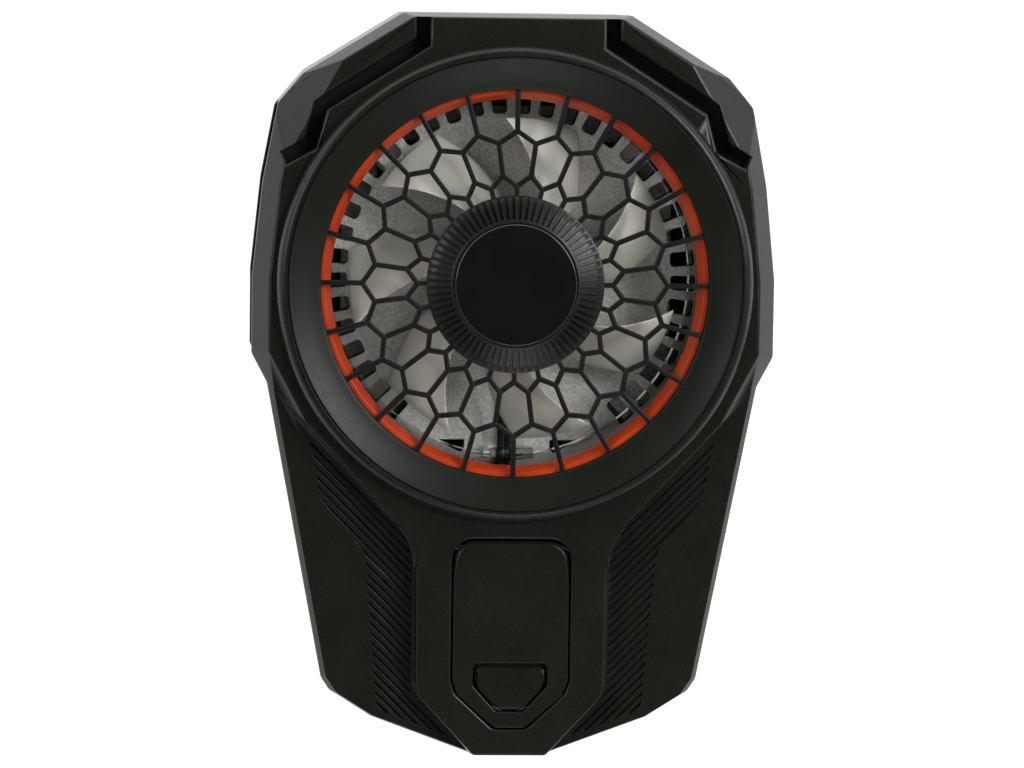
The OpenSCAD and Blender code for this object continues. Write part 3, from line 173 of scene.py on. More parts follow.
finish = {
    "body": moulded("bodySatin", (0.0058, 0.0076, 0.0048), (0.0078, 0.0098, 0.0065), (0.26, 0.33),
                    0.00022, 2.2e-6, Specular_IOR_Level=0.22),
    "bezel": moulded("bezelSatin", (0.0062, 0.0080, 0.0053), (0.0082, 0.0102, 0.0071), (0.30, 0.37),
                     0.0002, 2e-6, Specular_IOR_Level=0.14),
    "grille": moulded("grilleBlack", (0.0052, 0.0058, 0.0056), (0.0078, 0.0086, 0.0082), (0.30, 0.38),
                      0.0002, 2e-6, Specular_IOR_Level=0.17),
    "accent": moulded("accentOrange", (0.40, 0.030, 0.002), (0.49, 0.046, 0.004), (0.28, 0.36),
                      0.0003, 1e-6, Specular_IOR_Level=0.3),
    "hub_gloss": moulded("discGloss", (0.0042, 0.0047, 0.0037), (0.0060, 0.0066, 0.0053), (0.05, 0.09),
                         0.0006, 3e-7, Coat_Weight=0.4, Coat_Roughness=0.03),
    "blade": moulded("bladeCream", (0.60, 0.598, 0.52), (0.68, 0.678, 0.60), (0.30, 0.40),
                     0.00025, 2e-6),
    "jaw_pad": moulded("jawSilicone", (0.034, 0.036, 0.038), (0.046, 0.049, 0.051), (0.62, 0.78),
                       0.00018, 4e-6),
    "thermal_pad": moulded("padSilicone", (0.22, 0.24, 0.25), (0.28, 0.30, 0.31), (0.58, 0.72),
                           0.0002, 4e-6),
    "foam": moulded("closedFoam", (0.022, 0.022, 0.025), (0.038, 0.038, 0.041), (0.8, 0.95),
                    0.0003, 2e-5),
    "slider": moulded("sliderNylon", (0.60, 0.57, 0.48), (0.68, 0.65, 0.56), (0.4, 0.5), 0.0003, 2e-6),
    "lead": moulded("leadJacket", (0.010, 0.010, 0.011), (0.020, 0.020, 0.021), (0.4, 0.5),
                    0.0003, 1e-6, 0.002),
    "board": moulded("boardMask", (0.010, 0.085, 0.034), (0.015, 0.115, 0.046), (0.3, 0.4),
                     0.0004, 2e-6, 0.001),
    "ceramic": moulded("aluminaPlate", (0.80, 0.80, 0.77), (0.90, 0.90, 0.87), (0.45, 0.6),
                       0.0002, 2e-6),
    "magnet": moulded("magnetFerrite", (0.055, 0.048, 0.044), (0.085, 0.073, 0.067), (0.55, 0.7),
                      0.0002, 4e-6),
    "pellet": moulded("pelletGrey", (0.075, 0.083, 0.09), (0.11, 0.12, 0.13), (0.4, 0.55),
                      0.0002, 2e-6, 0.001),
    # the third colour is painted shade for the sink's upright slot walls
    "aluminium": blastedWithWallShade("sinkBlastedShadedWalls", (0.67, 0.652, 0.59), (0.92, 0.902, 0.835),
                         (0.009, 0.0085, 0.008), (0.34, 0.72), 0.00024, 9e-5),
    "steel": metal("steelBright", (0.44, 0.46, 0.48), (0.56, 0.58, 0.60), (0.2, 0.32),
                   0.0004, 5e-7, (1, 8, 8)),
    "screw": metal("screwBlack", (0.10, 0.105, 0.11), (0.15, 0.155, 0.16), (0.3, 0.42), 0.0003, 1e-6),
    "bronze": metal("bushBronze", (0.40, 0.22, 0.05), (0.52, 0.30, 0.07), (0.35, 0.5), 0.0002, 2e-6),
    "copper": metal("coilCopper", (0.40, 0.12, 0.025), (0.52, 0.17, 0.04), (0.25, 0.35),
                    0.0003, 2e-6, (1, 1, 12)),
}
knurlSatin = moulded("knurlSatin", (0.0062, 0.0074, 0.0058), (0.0086, 0.0100, 0.0078), (0.28, 0.36),
                     0.0002, 1e-6, Specular_IOR_Level=0.25)
gilt = metal("contactGold", (0.68, 0.44, 0.13), (0.82, 0.56, 0.19), (0.18, 0.28), 0.0002, 5e-7)


def clearPlastic(name):
    material, tree, shader, place = newFinish(name, 0.04, Transmission_Weight=1.0, IOR=1.46,
                                              Base_Color=(0.94, 0.955, 0.95, 1))
    spread(tree, noise(tree, place, 0.004), shader.inputs["Roughness"], 0.02, 0.07)
    relief(tree, noise(tree, place, 0.006, 1), shader, 4e-6)
    return material


finish["clear"] = clearPlastic("shroudClear")
print("materials:", len(finish) + 2)


# mesh helpers
soft = {"angle": math.radians(16), "shortest": 0.04 * mm, "steps": 3}  # which CAD edges are rounded
copySharp = math.radians(34)


def addPiece(name, bm, slotName, body, replaced=(), sharp=32, material=None):
    bmesh.ops.recalc_face_normals(bm, faces=bm.faces)
    mesh = bpy.data.meshes.new(name)
    bm.to_mesh(mesh)
    bm.free()
    mesh.shade_smooth()
    mesh.set_sharp_from_angle(angle=math.radians(sharp))
    mesh.materials.append(material or finish[slotName])
    piece = bpy.data.objects.new(name, mesh)
    scene.collection.objects.link(piece)
    if body:
        settle(piece, body, replaced)
    return piece


def settle(piece, body, replaced=()):
    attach(piece, body)
    if replaced:
        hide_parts(*replaced)
    return piece


def baked(piece):
    graph = bpy.context.evaluated_depsgraph_get()
    mesh = bpy.data.meshes.new_from_object(piece.evaluated_get(graph))
    piece.modifiers.clear()
    piece.data = mesh
    return piece


def merged(node, flat=0.5):
    bm = bmesh.new()
    bm.from_mesh(nodes[node].data)
    bmesh.ops.remove_doubles(bm, verts=bm.verts, dist=weld["cad"])
    if flat:  # one face for each flat side
        bmesh.ops.dissolve_limit(bm, angle_limit=math.radians(flat), verts=bm.verts, edges=bm.edges)
    return bm


def islands(node):
    # the box of each loose solid, always in the order of the mesh
    bm = merged(node)
    seen = set()
    boxes = []
    for start in bm.verts:
        if start in seen:
            continue
        seen.add(start)
        group, queue = [], [start]
        while queue:
            v = queue.pop()
            group.append(v.co.copy())
            for e in v.link_edges:
                other = e.other_vert(v)
                if other not in seen:
                    seen.add(other)
                    queue.append(other)
        boxes.append((Vector(map(min, *group)), Vector(map(max, *group))))
    bm.free()
    return boxes


def softened(name, node, slotName, width, weigh, shift=None, flat=0.5):
    # a copy of the CAD node whose edges are rounded, weigh gives each edge its share of width
    bm = merged(node, flat)
    for v in bm.verts if shift else ():
        v.co += shift(v.co)
    layer = bm.edges.layers.float.new("bevel_weight_edge")
    for e in bm.edges:
        if len(e.link_faces) == 2 and e.is_convex and e.calc_face_angle() > soft["angle"]:
            middle = (e.verts[0].co + e.verts[1].co) / 2
            e[layer] = weigh(middle, e) if e.calc_length() > soft["shortest"] else 0
    piece = addPiece(name, bm, slotName, None)
    bevel = piece.modifiers.new("edges", "BEVEL")
    bevel.limit_method = "WEIGHT"
    bevel.width = width
    bevel.segments = soft["steps"]
    bevel.use_clamp_overlap = False
    bevel.miter_outer = "MITER_ARC"
    normals = piece.modifiers.new("normals", "WEIGHTED_NORMAL")
    normals.keep_sharp = True
    return settle(baked(piece), bodyOf[node], [node])


def rounded(corners, steps=4):
    # closed profile, each corner is r, z and its rounding
    loop = []
    for i, (r, z, fillet) in enumerate(corners):
        p = Vector((r, z))
        a = Vector(corners[i - 1][:2]) - p
        b = Vector(corners[(i + 1) % len(corners)][:2]) - p
        if not fillet:
            loop.append(p)
            continue
        half = a.angle(b) / 2
        cut = min(fillet / math.tan(half), 0.48 * min(a.length, b.length))  # short of the side's middle
        radius = cut * math.tan(half)
        centre = p + (a.normalized() + b.normalized()).normalized() * radius / math.sin(half)
        start, end = p + a.normalized() * cut - centre, p + b.normalized() * cut - centre
        for k in range(steps + 1):
            loop.append(centre + start.lerp(end, k / steps).normalized() * radius)
    return loop


def lathe(loop, turns, bm=None):
    bm = bm or bmesh.new()
    rings = []
    for k in range(turns):
        c, s = math.cos(k * math.tau / turns), math.sin(k * math.tau / turns)
        rings.append([bm.verts.new((p[0] * c, p[0] * s, p[1])) for p in loop])
    for k in range(turns):
        here, there = rings[k - 1], rings[k]
        for i in range(len(loop)):
            bm.faces.new((here[i - 1], there[i - 1], there[i], here[i]))
    bmesh.ops.remove_doubles(bm, verts=bm.verts, dist=weld["made"])
    return bm


def block(bm, lo, hi, round_=0.0, steps=2):
    made = bmesh.ops.create_cube(bm, size=1)["verts"]
    size, middle = Vector(hi) - Vector(lo), (Vector(hi) + Vector(lo)) / 2
    for v in made:
        v.co = Vector(a * b for a, b in zip(v.co, size)) + middle
    if round_:
        edges = list(dict.fromkeys(e for v in made for e in v.link_edges))
        bmesh.ops.bevel(bm, geom=edges, offset=round_, segments=steps, profile=0.5, affect="EDGES")
    return bm


def stitched(bm, rows):
    # faces from row to row, and one over each end
    for a, b in zip(rows, rows[1:]):
        for j in range(len(a)):
            bm.faces.new((a[j - 1], b[j - 1], b[j], a[j]))
    bm.faces.new(rows[0])
    bm.faces.new(rows[-1])


# node trees for what repeats
def newTree(name, inputs):
    tree = bpy.data.node_groups.new(name, "GeometryNodeTree")
    kinds = {"i": "NodeSocketInt", "f": "NodeSocketFloat", "v": "NodeSocketVector", "m": "NodeSocketMaterial",
             "o": "NodeSocketObject", "g": "NodeSocketGeometry"}
    for label, kind in inputs:
        tree.interface.new_socket(label, in_out="INPUT", socket_type=kinds[kind])
    tree.interface.new_socket("Geometry", in_out="OUTPUT", socket_type=kinds["g"])
    return tree, tree.nodes.new("NodeGroupInput"), tree.nodes.new("NodeGroupOutput")


def treeNode(tree, kind, inputs=(), **settings):
    node = tree.nodes.new(kind)
    for key, value in settings.items():
        setattr(node, key, value)
    for key, value in dict(inputs).items():
        if hasattr(value, "is_output"):
            tree.links.new(value, node.inputs[key])
        else:
            node.inputs[key].default_value = value
    return node


def closeTree(tree, start, end, instances):
    real = treeNode(tree, "GeometryNodeRealizeInstances", {"Geometry": instances})
    coat = treeNode(tree, "GeometryNodeSetMaterial",
                    {"Geometry": real.outputs[0], "Material": start.outputs["Finish"]})
    tree.links.new(coat.outputs[0], end.inputs[0])


def ringTree():
    # one unit copied round Z, each copy a trace larger or smaller
    tree, start, end = newTree("ringOfCopies", [
        ("Geometry", "g"), ("Count", "i"), ("First", "f"), ("Uneven", "f"), ("Seed", "i"), ("Finish", "m")])
    points = treeNode(tree, "GeometryNodePoints", {"Count": start.outputs["Count"]})
    index = treeNode(tree, "GeometryNodeInputIndex")
    step = treeNode(tree, "ShaderNodeMath", {0: math.tau, 1: start.outputs["Count"]}, operation="DIVIDE")
    angle = treeNode(tree, "ShaderNodeMath",
                     {0: index.outputs[0], 1: step.outputs[0], 2: start.outputs["First"]},
                     operation="MULTIPLY_ADD")
    turn = treeNode(tree, "ShaderNodeCombineXYZ", {"Z": angle.outputs[0]})
    less = treeNode(tree, "ShaderNodeMath", {0: 1.0, 1: start.outputs["Uneven"]}, operation="SUBTRACT")
    size = treeNode(tree, "FunctionNodeRandomValue",
                    {2: less.outputs[0], 3: 1.0, "Seed": start.outputs["Seed"]})
    copies = treeNode(tree, "GeometryNodeInstanceOnPoints",
                      {"Points": points.outputs[0], "Instance": start.outputs["Geometry"],
                       "Rotation": turn.outputs[0], "Scale": size.outputs[1]})
    closeTree(tree, start, end, copies.outputs[0])
    return tree


def rowTree():
    # one unit copied along a straight step
    tree, start, end = newTree("rowOfCopies", [
        ("Geometry", "g"), ("Count", "i"), ("Step", "v"), ("Finish", "m")])
    line = treeNode(tree, "GeometryNodeMeshLine",
                    {"Count": start.outputs["Count"], "Offset": start.outputs["Step"]})
    copies = treeNode(tree, "GeometryNodeInstanceOnPoints",
                      {"Points": line.outputs[0], "Instance": start.outputs["Geometry"]})
    closeTree(tree, start, end, copies.outputs[0])
    return tree


def pointTree():
    # one unit set on each vertex
    tree, start, end = newTree("copiesAtPoints", [
        ("Geometry", "g"), ("Unit", "o"), ("Turn", "f"), ("Seed", "i"), ("Finish", "m")])
    unit = treeNode(tree, "GeometryNodeObjectInfo", {"Object": start.outputs["Unit"]})
    lean = treeNode(tree, "FunctionNodeRandomValue",
                    {3: start.outputs["Turn"], "Seed": start.outputs["Seed"]})
    turn = treeNode(tree, "ShaderNodeCombineXYZ", {"Z": lean.outputs[1]})
    copies = treeNode(tree, "GeometryNodeInstanceOnPoints",
                      {"Points": start.outputs["Geometry"], "Instance": unit.outputs["Geometry"],
                       "Rotation": turn.outputs[0]})
    closeTree(tree, start, end, copies.outputs[0])
    return tree


ringOfCopies, rowOfCopies, copiesAtPoints = ringTree(), rowTree(), pointTree()


def grown(piece, tree, **values):
    modifier = piece.modifiers.new(tree.name, "NODES")
    modifier.node_group = tree
    for item in tree.interface.items_tree:
        if item.in_out == "INPUT" and item.name in values:
            modifier[item.identifier] = values[item.name]
    baked(piece)
    piece.data.shade_smooth()
    piece.data.set_sharp_from_angle(angle=copySharp)
    return piece


def combined(first, *others):
    bm = bmesh.new()
    for piece in (first, *others):
        bm.from_mesh(piece.data)
    material = first.data.materials[0]
    bm.to_mesh(first.data)
    bm.free()
    first.data.materials.clear()
    first.data.materials.append(material)
    first.data.shade_smooth()
    first.data.set_sharp_from_angle(angle=copySharp)
    for piece in others:
        bpy.data.objects.remove(piece)
    return first


# housing
latheSteps = {"ring": 240, "disc": 200, "knurl": 216, "plate": 160, "cup": 128}
shell = {"edge": 0.40 * mm, "plain": 0.24 * mm, "ribEdge": 0.05 * mm, "landEdge": 0.10 * mm,
         "footEdge": 0.06 * mm, "seam": 9.3 * mm, "flank": 24.8 * mm, "groove": 24.3 * mm,
         "ribStep": 0.45 * mm, "front": 27.4 * mm, "upright": 0.05,
         "brow": 0.6 * mm, "browSide": 0.97 * mm, "browY": 31.6 * mm, "browCorner": 13.0 * mm,
         "channelY": 12 * mm, "channelX": 9 * mm, "rearJoin": 8.9 * mm, "rearShare": 0.5}
hair = 0.02 * mm  # two levels this close are one
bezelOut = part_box("bezel_ring")[1].x
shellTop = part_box("front_shell")[1].z


def frontEdges(at, e):
    if at.z < shell["seam"] or math.hypot(at.x, at.y) < bezelOut + 5 * hair:
        return 0
    if abs(at.z - shell["flank"]) < hair:
        lowest = [min(v.co.z for v in f.verts) for f in e.link_faces]
        rib = max(lowest) - min(lowest) < shell["ribStep"] and min(lowest) > shell["groove"]
        return shell["ribEdge" if rib else "footEdge"] / shell["edge"]
    if abs(at.z - shellTop) < hair:
        return shell["landEdge"] / shell["edge"]
    upright = min(abs(f.normal.z) for f in e.link_faces) < shell["upright"]
    channel = at.y > shell["channelY"] and abs(at.x) > shell["channelX"]
    if upright and channel and abs(at.z - shell["front"]) < hair:
        return 1  # lips of the shoulder channels
    return shell["plain"] / shell["edge"]


def frontShift(p):
    # a narrower bevel along the top edge
    if abs(p.z - shell["front"]) > hair or abs(p.y - shell["browY"]) > 1.5 * hair:
        return Vector()
    inward = math.copysign(shell["browSide"], -p.x) if abs(p.x) > shell["browCorner"] else 0
    return Vector((inward, shell["brow"], 0))


collar = {"inner": 27.64 * mm, "outer": 29.02 * mm, "top": 29.41 * mm, "foot": 27.0 * mm, "sink": 27.42 * mm,
          "lip": 0.07 * mm, "shoulder": 1.2 * mm, "steps": 12}
crown = [(collar["inner"], collar["foot"], 0), (collar["inner"], collar["top"], collar["lip"])]
for k in range(collar["steps"] + 1):  # round shoulder of the collar
    t = math.radians(90 - 90 * k / collar["steps"])
    crown.append((collar["outer"] - collar["shoulder"] * (1 - math.cos(t)),
                  collar["sink"] + (collar["top"] - collar["sink"]) * math.sin(t), 0))
crown.append((collar["outer"], collar["foot"], 0))
addPiece("collarRound", lathe(rounded(crown), latheSteps["ring"]), "body", "housing")
frontShell = softened("frontShell", "front_shell", "body", shell["edge"], frontEdges, shift=frontShift)

# webs that round the corners between neck and flanks, in mm
web = {"corner": (12.05, -31.9), "foot": (11.9, -50.6), "hip": (30.1, -12.5), "radius": 7.2,
       "top": 27.404, "low": 24.6, "edge": 0.34, "inside": 1.4, "steps": 14}
bm = bmesh.new()
for side in (1, -1):
    corner, foot, hip = (Vector((side * web[k][0], web[k][1])) for k in ("corner", "foot", "hip"))
    u, v = (foot - corner).normalized(), (hip - corner).normalized()
    half = u.angle(v) / 2
    inward = (u + v).normalized()
    centre = corner + inward * web["radius"] / math.sin(half)
    start, end = (corner + w * web["radius"] / math.tan(half) - centre for w in (u, v))
    root = corner - inward * web["inside"]
    rows = []
    for k in range(web["steps"] + 1):
        out = start.lerp(end, k / web["steps"]).normalized()
        profile = [(0, web["low"])]
        for t in quarter:
            profile.append((web["edge"] * (1 - math.cos(t)), web["top"] - web["edge"] * (1 - math.sin(t))))
        row = [(*(centre + out * (web["radius"] + d)), z) for d, z in profile]
        row += [(*root, web["top"]), (*root, web["low"])]
        rows.append([bm.verts.new(Vector(p) * mm) for p in row])
    stitched(bm, rows)
bmesh.ops.remove_doubles(bm, verts=bm.verts, dist=weld["made"])
addPiece("neckWebs", bm, "body", "housing")
rearShell = softened("rearShell", "rear_shell", "body", shell["plain"],
                     lambda at, e: shell["rearShare"] if at.z > shell["rearJoin"] else 1)
print("housing:", len(frontShell.data.polygons), len(rearShell.data.polygons))

# bezel, accent ring and disc
bezel = {"mouth": 23.6 * mm, "rebate": 24.7 * mm, "dish": 1.4 * mm, "hollow": 0.12 * mm, "round": 0.24 * mm,
         "steps": 8}
low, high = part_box("bezel_ring")
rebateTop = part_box("grille")[1].z
face = []
for k in range(bezel["steps"] + 1):  # slightly hollow from rim to mouth
    t = k / bezel["steps"]
    sag = bezel["hollow"] * 4 * t * (1 - t)
    face.append((high.x + (bezel["mouth"] - high.x) * t, high.z - bezel["dish"] * t - sag,
                 bezel["round"] if k in (0, bezel["steps"]) else 0))
addPiece("bezelRing", lathe(rounded([
    (bezel["mouth"], rebateTop, 0), (bezel["rebate"], rebateTop, 0), (bezel["rebate"], low.z, 0),
    (high.x, low.z, 0), *face]), latheSteps["ring"]), "bezel", "housing", ["bezel_ring"])

accent = {"inner": 22.4 * mm, "foot": 0.7 * mm, "land": 0.5 * mm, "round": 0.12 * mm}
low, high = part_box("accent_ring")
addPiece("accentRing", lathe(rounded([
    (accent["inner"], low.z, 0), (high.x, low.z, 0), (high.x, high.z, 0),
    (high.x - accent["land"], high.z, accent["round"]),
    (accent["inner"], low.z + accent["foot"], accent["round"])]), latheSteps["ring"]),
    "accent", "housing", ["accent_ring"])

disc = {"bevel": 0.13 * mm, "round": 0.08 * mm, "crown": 0.04 * mm, "midR": 0.6, "midDrop": 0.3,
        "steps": 6}
low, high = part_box("hub_disc")
addPiece("hubDisc", lathe(rounded([
    (0, low.z, 0), (high.x, low.z, 0), (high.x, high.z - disc["bevel"], disc["round"]),
    (high.x - disc["bevel"], high.z - disc["crown"], disc["round"]),
    (disc["midR"] * high.x, high.z - disc["midDrop"] * disc["crown"], 0),
    (0, high.z, 0)], disc["steps"]), latheSteps["disc"]), "hub_gloss", "housing", ["hub_disc"])

# knurled ring: a cone with ridges
knurl = {"count": 72, "land": 0.45 * mm, "lip": 0.3 * mm, "depth": 0.56 * mm, "inWidth": 0.44 * mm,
         "outWidth": 0.62 * mm, "gap": 0.1 * mm, "footRound": 0.08 * mm, "seatRound": 0.05 * mm,
         "landRound": 0.1 * mm, "tuck": 0.1 * mm, "inset": 0.06 * mm, "least": 0.1 * mm, "rimDrop": 0.5,
         "steps": 6, "fall": {5: 0.12, 6: 0.55}, "uneven": 0.002, "seed": 4,
         "section": ((-1, -0.3), (-1, 0.82), (-0.84, 1), (0.84, 1), (1, 0.82), (1, -0.3))}
low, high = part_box("hub_ring")
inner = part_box("hub_disc")[1].x + knurl["gap"]
slope = (low.z + knurl["lip"] - high.z) / (high.x - inner)
rim = [(r, high.z + slope * (r - inner)) for r in (inner, inner + knurl["land"], high.x)]
cone = lathe(rounded([
    (inner, low.z, 0), (high.x, low.z, 0),
    (high.x, rim[2][1] - knurl["rimDrop"] * knurl["depth"], knurl["footRound"]),
    (rim[1][0], rim[1][1] - knurl["depth"], knurl["seatRound"]),
    (*rim[1], knurl["landRound"]), (*rim[0], knurl["landRound"])], 3), latheSteps["knurl"])
hubRing = addPiece("hubRing", cone, "grille", None, material=knurlSatin)
bm = bmesh.new()
rows = []
first, final = rim[1][0] - knurl["tuck"], high.x - knurl["inset"]
for k in range(knurl["steps"] + 1):  # along the ridge, which falls at its outer end
    t = k / knurl["steps"]
    r = first + (final - first) * t
    wide = knurl["inWidth"] + (knurl["outWidth"] - knurl["inWidth"]) * t
    tall = max(knurl["least"], knurl["depth"] * (1 - knurl["fall"].get(k, 0)))
    base = high.z + slope * (r - inner) - knurl["depth"]
    rows.append([bm.verts.new((r, wide / 2 * y, base + tall * z)) for y, z in knurl["section"]])
stitched(bm, rows)
ridges = grown(addPiece("ridges", bm, "grille", None), ringOfCopies, Count=knurl["count"], First=0.0,
               Uneven=knurl["uneven"], Seed=knurl["seed"], Finish=knurlSatin)
settle(combined(hubRing, ridges), "housing", ["hub_ring"])
print("rings: bezel, accent, disc, knurl")

# grille: one sector of round-topped bars copied round, on a rim and a hub plate
grille = {"sectors": 24, "half": 0.3 * mm, "round": 0.14 * mm, "reach": 24.1 * mm,
          "zig": (18.6, 17.2, 13.3, 11.9), "boss": 10.6 * mm, "rim": 23.75 * mm, "step": 0.012 * mm,
          "plateRound": 0.1 * mm, "seed": 3}
low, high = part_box("grille")
pitch = math.tau / grille["sectors"]


def polar(r, a):
    return Vector((r * math.cos(a), r * math.sin(a)))


def bar(bm, a, b, half, z0, z1, round_):
    axis = (b - a).normalized()
    side = Vector((-axis.y, axis.x))
    rings = []
    for k, t in enumerate([0, *quarter]):
        z = z1 - round_ * (1 - math.sin(t)) if k else z0
        r = half - round_ * (1 - math.cos(t))
        ring = []
        for end, first in ((b, -90), (a, 90)):  # a half round at each end
            for j in range(7):
                u = math.radians(first + 30 * j)
                p = end + axis * r * math.cos(u) + side * r * math.sin(u)
                ring.append(bm.verts.new((p.x, p.y, z)))
        rings.append(ring)
    stitched(bm, rings)


far, mid, near, last = (r * mm for r in grille["zig"])
bm = bmesh.new()
for k, (a, b) in enumerate([
        (polar(far, 0), polar(grille["reach"], 0)), (polar(far, 0), polar(mid, pitch / 2)),
        (polar(mid, pitch / 2), polar(far, pitch)), (polar(mid, pitch / 2), polar(near, pitch / 2)),
        (polar(near, pitch / 2), polar(last, 0)), (polar(near, pitch / 2), polar(last, pitch)),
        (polar(last, 0), polar(grille["boss"], 0))]):
    bar(bm, a, b, grille["half"], low.z, high.z - k * grille["step"], grille["round"])
sectors = grown(addPiece("sectors", bm, "grille", None), ringOfCopies, Count=grille["sectors"], First=0.0,
                Uneven=0.0, Seed=grille["seed"], Finish=finish["grille"])
plates = lathe(rounded([(grille["rim"], low.z, 0), (high.x, low.z, 0), (high.x, high.z, 0),
                        (grille["rim"], high.z, grille["plateRound"])]), latheSteps["ring"])
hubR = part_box("hub_ring")[1].x
lathe(rounded([(0, low.z, 0), (hubR, low.z, grille["plateRound"]), (hubR, high.z, 0), (0, high.z, 0)]),
      latheSteps["plate"], plates)
settle(combined(addPiece("grilleBars", plates, "grille", None), sectors), "housing", ["grille"])

# heat sink
sink = {"edge": 0.13 * mm, "step": 0.9 * mm, "stepShare": 0.6, "near": 0.05 * mm}
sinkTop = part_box("heatsink")[1].z


def sinkEdges(at, e):
    if at.z > sinkTop - sink["near"]:
        return 1
    return sink["stepShare"] if abs(at.z - sinkTop + sink["step"]) < sink["near"] else 0


softened("heatSink", "heatsink", "aluminium", sink["edge"], sinkEdges)

# clear shroud with its lead block
shroud = {"inner": 22.4 * mm, "round": 0.2 * mm, "blockHalf": 3.2 * mm, "blockIn": 1.0 * mm,
          "blockHigh": 3.0 * mm, "blockOver": 0.05 * mm, "blockRound": 0.15 * mm}
low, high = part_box("fan_shroud")
tube = lathe(rounded([(shroud["inner"], low.z, 0), (high.x, low.z, 0), (high.x, high.z, shroud["round"]),
                      (shroud["inner"], high.z, shroud["round"])]), latheSteps["ring"])
block(tube, (-shroud["blockHalf"], -shroud["inner"] - shroud["blockOver"], low.z),
      (shroud["blockHalf"], -shroud["inner"] + shroud["blockIn"], low.z + shroud["blockHigh"]),
      shroud["blockRound"])
addPiece("fanShroud", tube, "clear", "housing", ["fan_shroud"])

# impeller: cup and swept blades
fan = {"blades": 7, "first": 80, "sweep": 22, "chord": 27, "thick": 0.7 * mm, "margin": 0.8 * mm,
       "flatten": 0.25, "tip": 20.0 * mm, "hub": 10.0 * mm, "cup": 9.2 * mm, "roof": 1.0 * mm,
       "rootIn": 0.5 * mm, "round": 0.5 * mm, "insideRound": 0.2 * mm, "rimRound": 0.1 * mm,
       "tipShare": 0.04, "edgeShare": 0.1, "seed": 2}
low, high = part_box("impeller")
cup = lathe(rounded([
    (0, high.z - fan["roof"], 0), (fan["cup"], high.z - fan["roof"], fan["insideRound"]),
    (fan["cup"], low.z, fan["rimRound"]), (fan["hub"], low.z, fan["rimRound"]),
    (fan["hub"], high.z, fan["round"]), (0, high.z, 0)]), latheSteps["cup"])
hub = addPiece("fanHub", cup, "blade", None)


def fullness(t, share):
    # 1 up to the last share of t, then a round fall to 0
    return math.sqrt(max(0, 1 - max(0, (t - 1 + share) / share) ** 2))


bm = bmesh.new()
across, along = 22, 18  # faces over one side of a blade
sheets = []
for side in (1, -1):
    sheet = []
    for i in range(along + 1):
        u = i / along
        r = fan["hub"] - fan["rootIn"] + (fan["tip"] - fan["hub"] + fan["rootIn"]) * u
        row = []
        for j in range(across + 1):
            v = 0.5 - 0.5 * math.cos(math.pi * j / across)  # closer rows at the edges
            full = fullness(abs(2 * v - 1), fan["edgeShare"]) * fullness(u, fan["tipShare"])
            a = math.radians(fan["sweep"] * (u - 1) + fan["chord"] * (v - 0.5))
            rise = (high.z - low.z - 2 * fan["margin"]) * (v - 0.5) * (1 - fan["flatten"] * u)
            z = (low.z + high.z) / 2 + rise + side * fan["thick"] / 2 * full
            row.append(bm.verts.new((r * math.cos(a), r * math.sin(a), z)))
        sheet.append(row)
    sheets.append(sheet)
for sheet in sheets:
    for i in range(along):
        for j in range(across):
            bm.faces.new((sheet[i][j], sheet[i + 1][j], sheet[i + 1][j + 1], sheet[i][j + 1]))
for j in range(across):
    bm.faces.new((sheets[0][0][j], sheets[1][0][j], sheets[1][0][j + 1], sheets[0][0][j + 1]))
bmesh.ops.remove_doubles(bm, verts=bm.verts, dist=weld["blade"])
blades = grown(addPiece("blades", bm, "blade", None), ringOfCopies, Count=fan["blades"],
               First=math.radians(fan["first"]), Uneven=0.0, Seed=fan["seed"], Finish=finish["blade"])
settle(combined(hub, blades), "rotor", ["impeller"])
print("fan: shroud, hub and", fan["blades"], "blades")

# stand leg with its tab
stand = {"edge": 0.12 * mm, "wider": 0.19 * mm, "straightY": -34 * mm, "endY": -34.2 * mm, "end": 0.12 * mm,
         "coreX": 4.7 * mm, "coreY": -33.8 * mm, "sideX": 6.2 * mm, "tipLong": 4.3 * mm, "tipFlat": 0.5 * mm,
         "tipX": 6.1 * mm, "rim": 0.6 * mm, "faceDeep": 1.2 * mm, "lowShare": 0.3, "plateEdge": 0.06 * mm}
standLow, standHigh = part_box("stand_leg")


def standShift(p):
    # a closer fit along the sides and the tip, and a narrower bevel round the hinge end
    out = Vector()
    core = Vector((math.copysign(min(abs(p.x), stand["coreX"]), p.x), min(p.y, stand["coreY"]), p.z))
    if p.y < stand["straightY"] and abs(p.x) > stand["sideX"]:
        out.x = math.copysign(stand["wider"], p.x)
    fromTip = p.y - standLow.y
    if fromTip < stand["tipFlat"] or fromTip < stand["tipLong"] and abs(p.x) > stand["tipX"]:
        out.y = -stand["wider"]
    if p.y > stand["endY"] and p.z > standHigh.z - stand["rim"]:
        out = (p - core).normalized() * stand["end"] if p.z > standHigh.z - hair else Vector()
    return out


softened("standLeg", "stand_leg", "body", stand["edge"],
         lambda at, e: 1 if at.z > standHigh.z - stand["faceDeep"] else stand["lowShare"],
         shift=standShift, flat=0)
tab = {"edge": 0.34 * mm, "faceDeep": 0.6 * mm, "arrowHalf": 1.5 * mm, "arrowTop": 2.4 * mm,
       "arrowTip": 4.1 * mm, "line": 0.06 * mm, "out": 0.015 * mm, "in": 0.05 * mm}
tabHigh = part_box("latch_tab")[1]
softened("latchTab", "latch_tab", "body", tab["edge"],
         lambda at, e: 1 if at.z > tabHigh.z - tab["faceDeep"] else 0, flat=0)
ends = [Vector((x, tabHigh.y - y)) for x, y in (
    (-tab["arrowHalf"], tab["arrowTop"]), (tab["arrowHalf"], tab["arrowTop"]), (0, tab["arrowTip"]))]
bm = bmesh.new()
for k in range(3):  # a plain arrow in thin lines
    bar(bm, ends[k - 1], ends[k], tab["line"], tabHigh.z - tab["in"], tabHigh.z + tab["out"], tab["out"])
addPiece("tabArrow", bm, "body", bodyOf["latch_tab"])
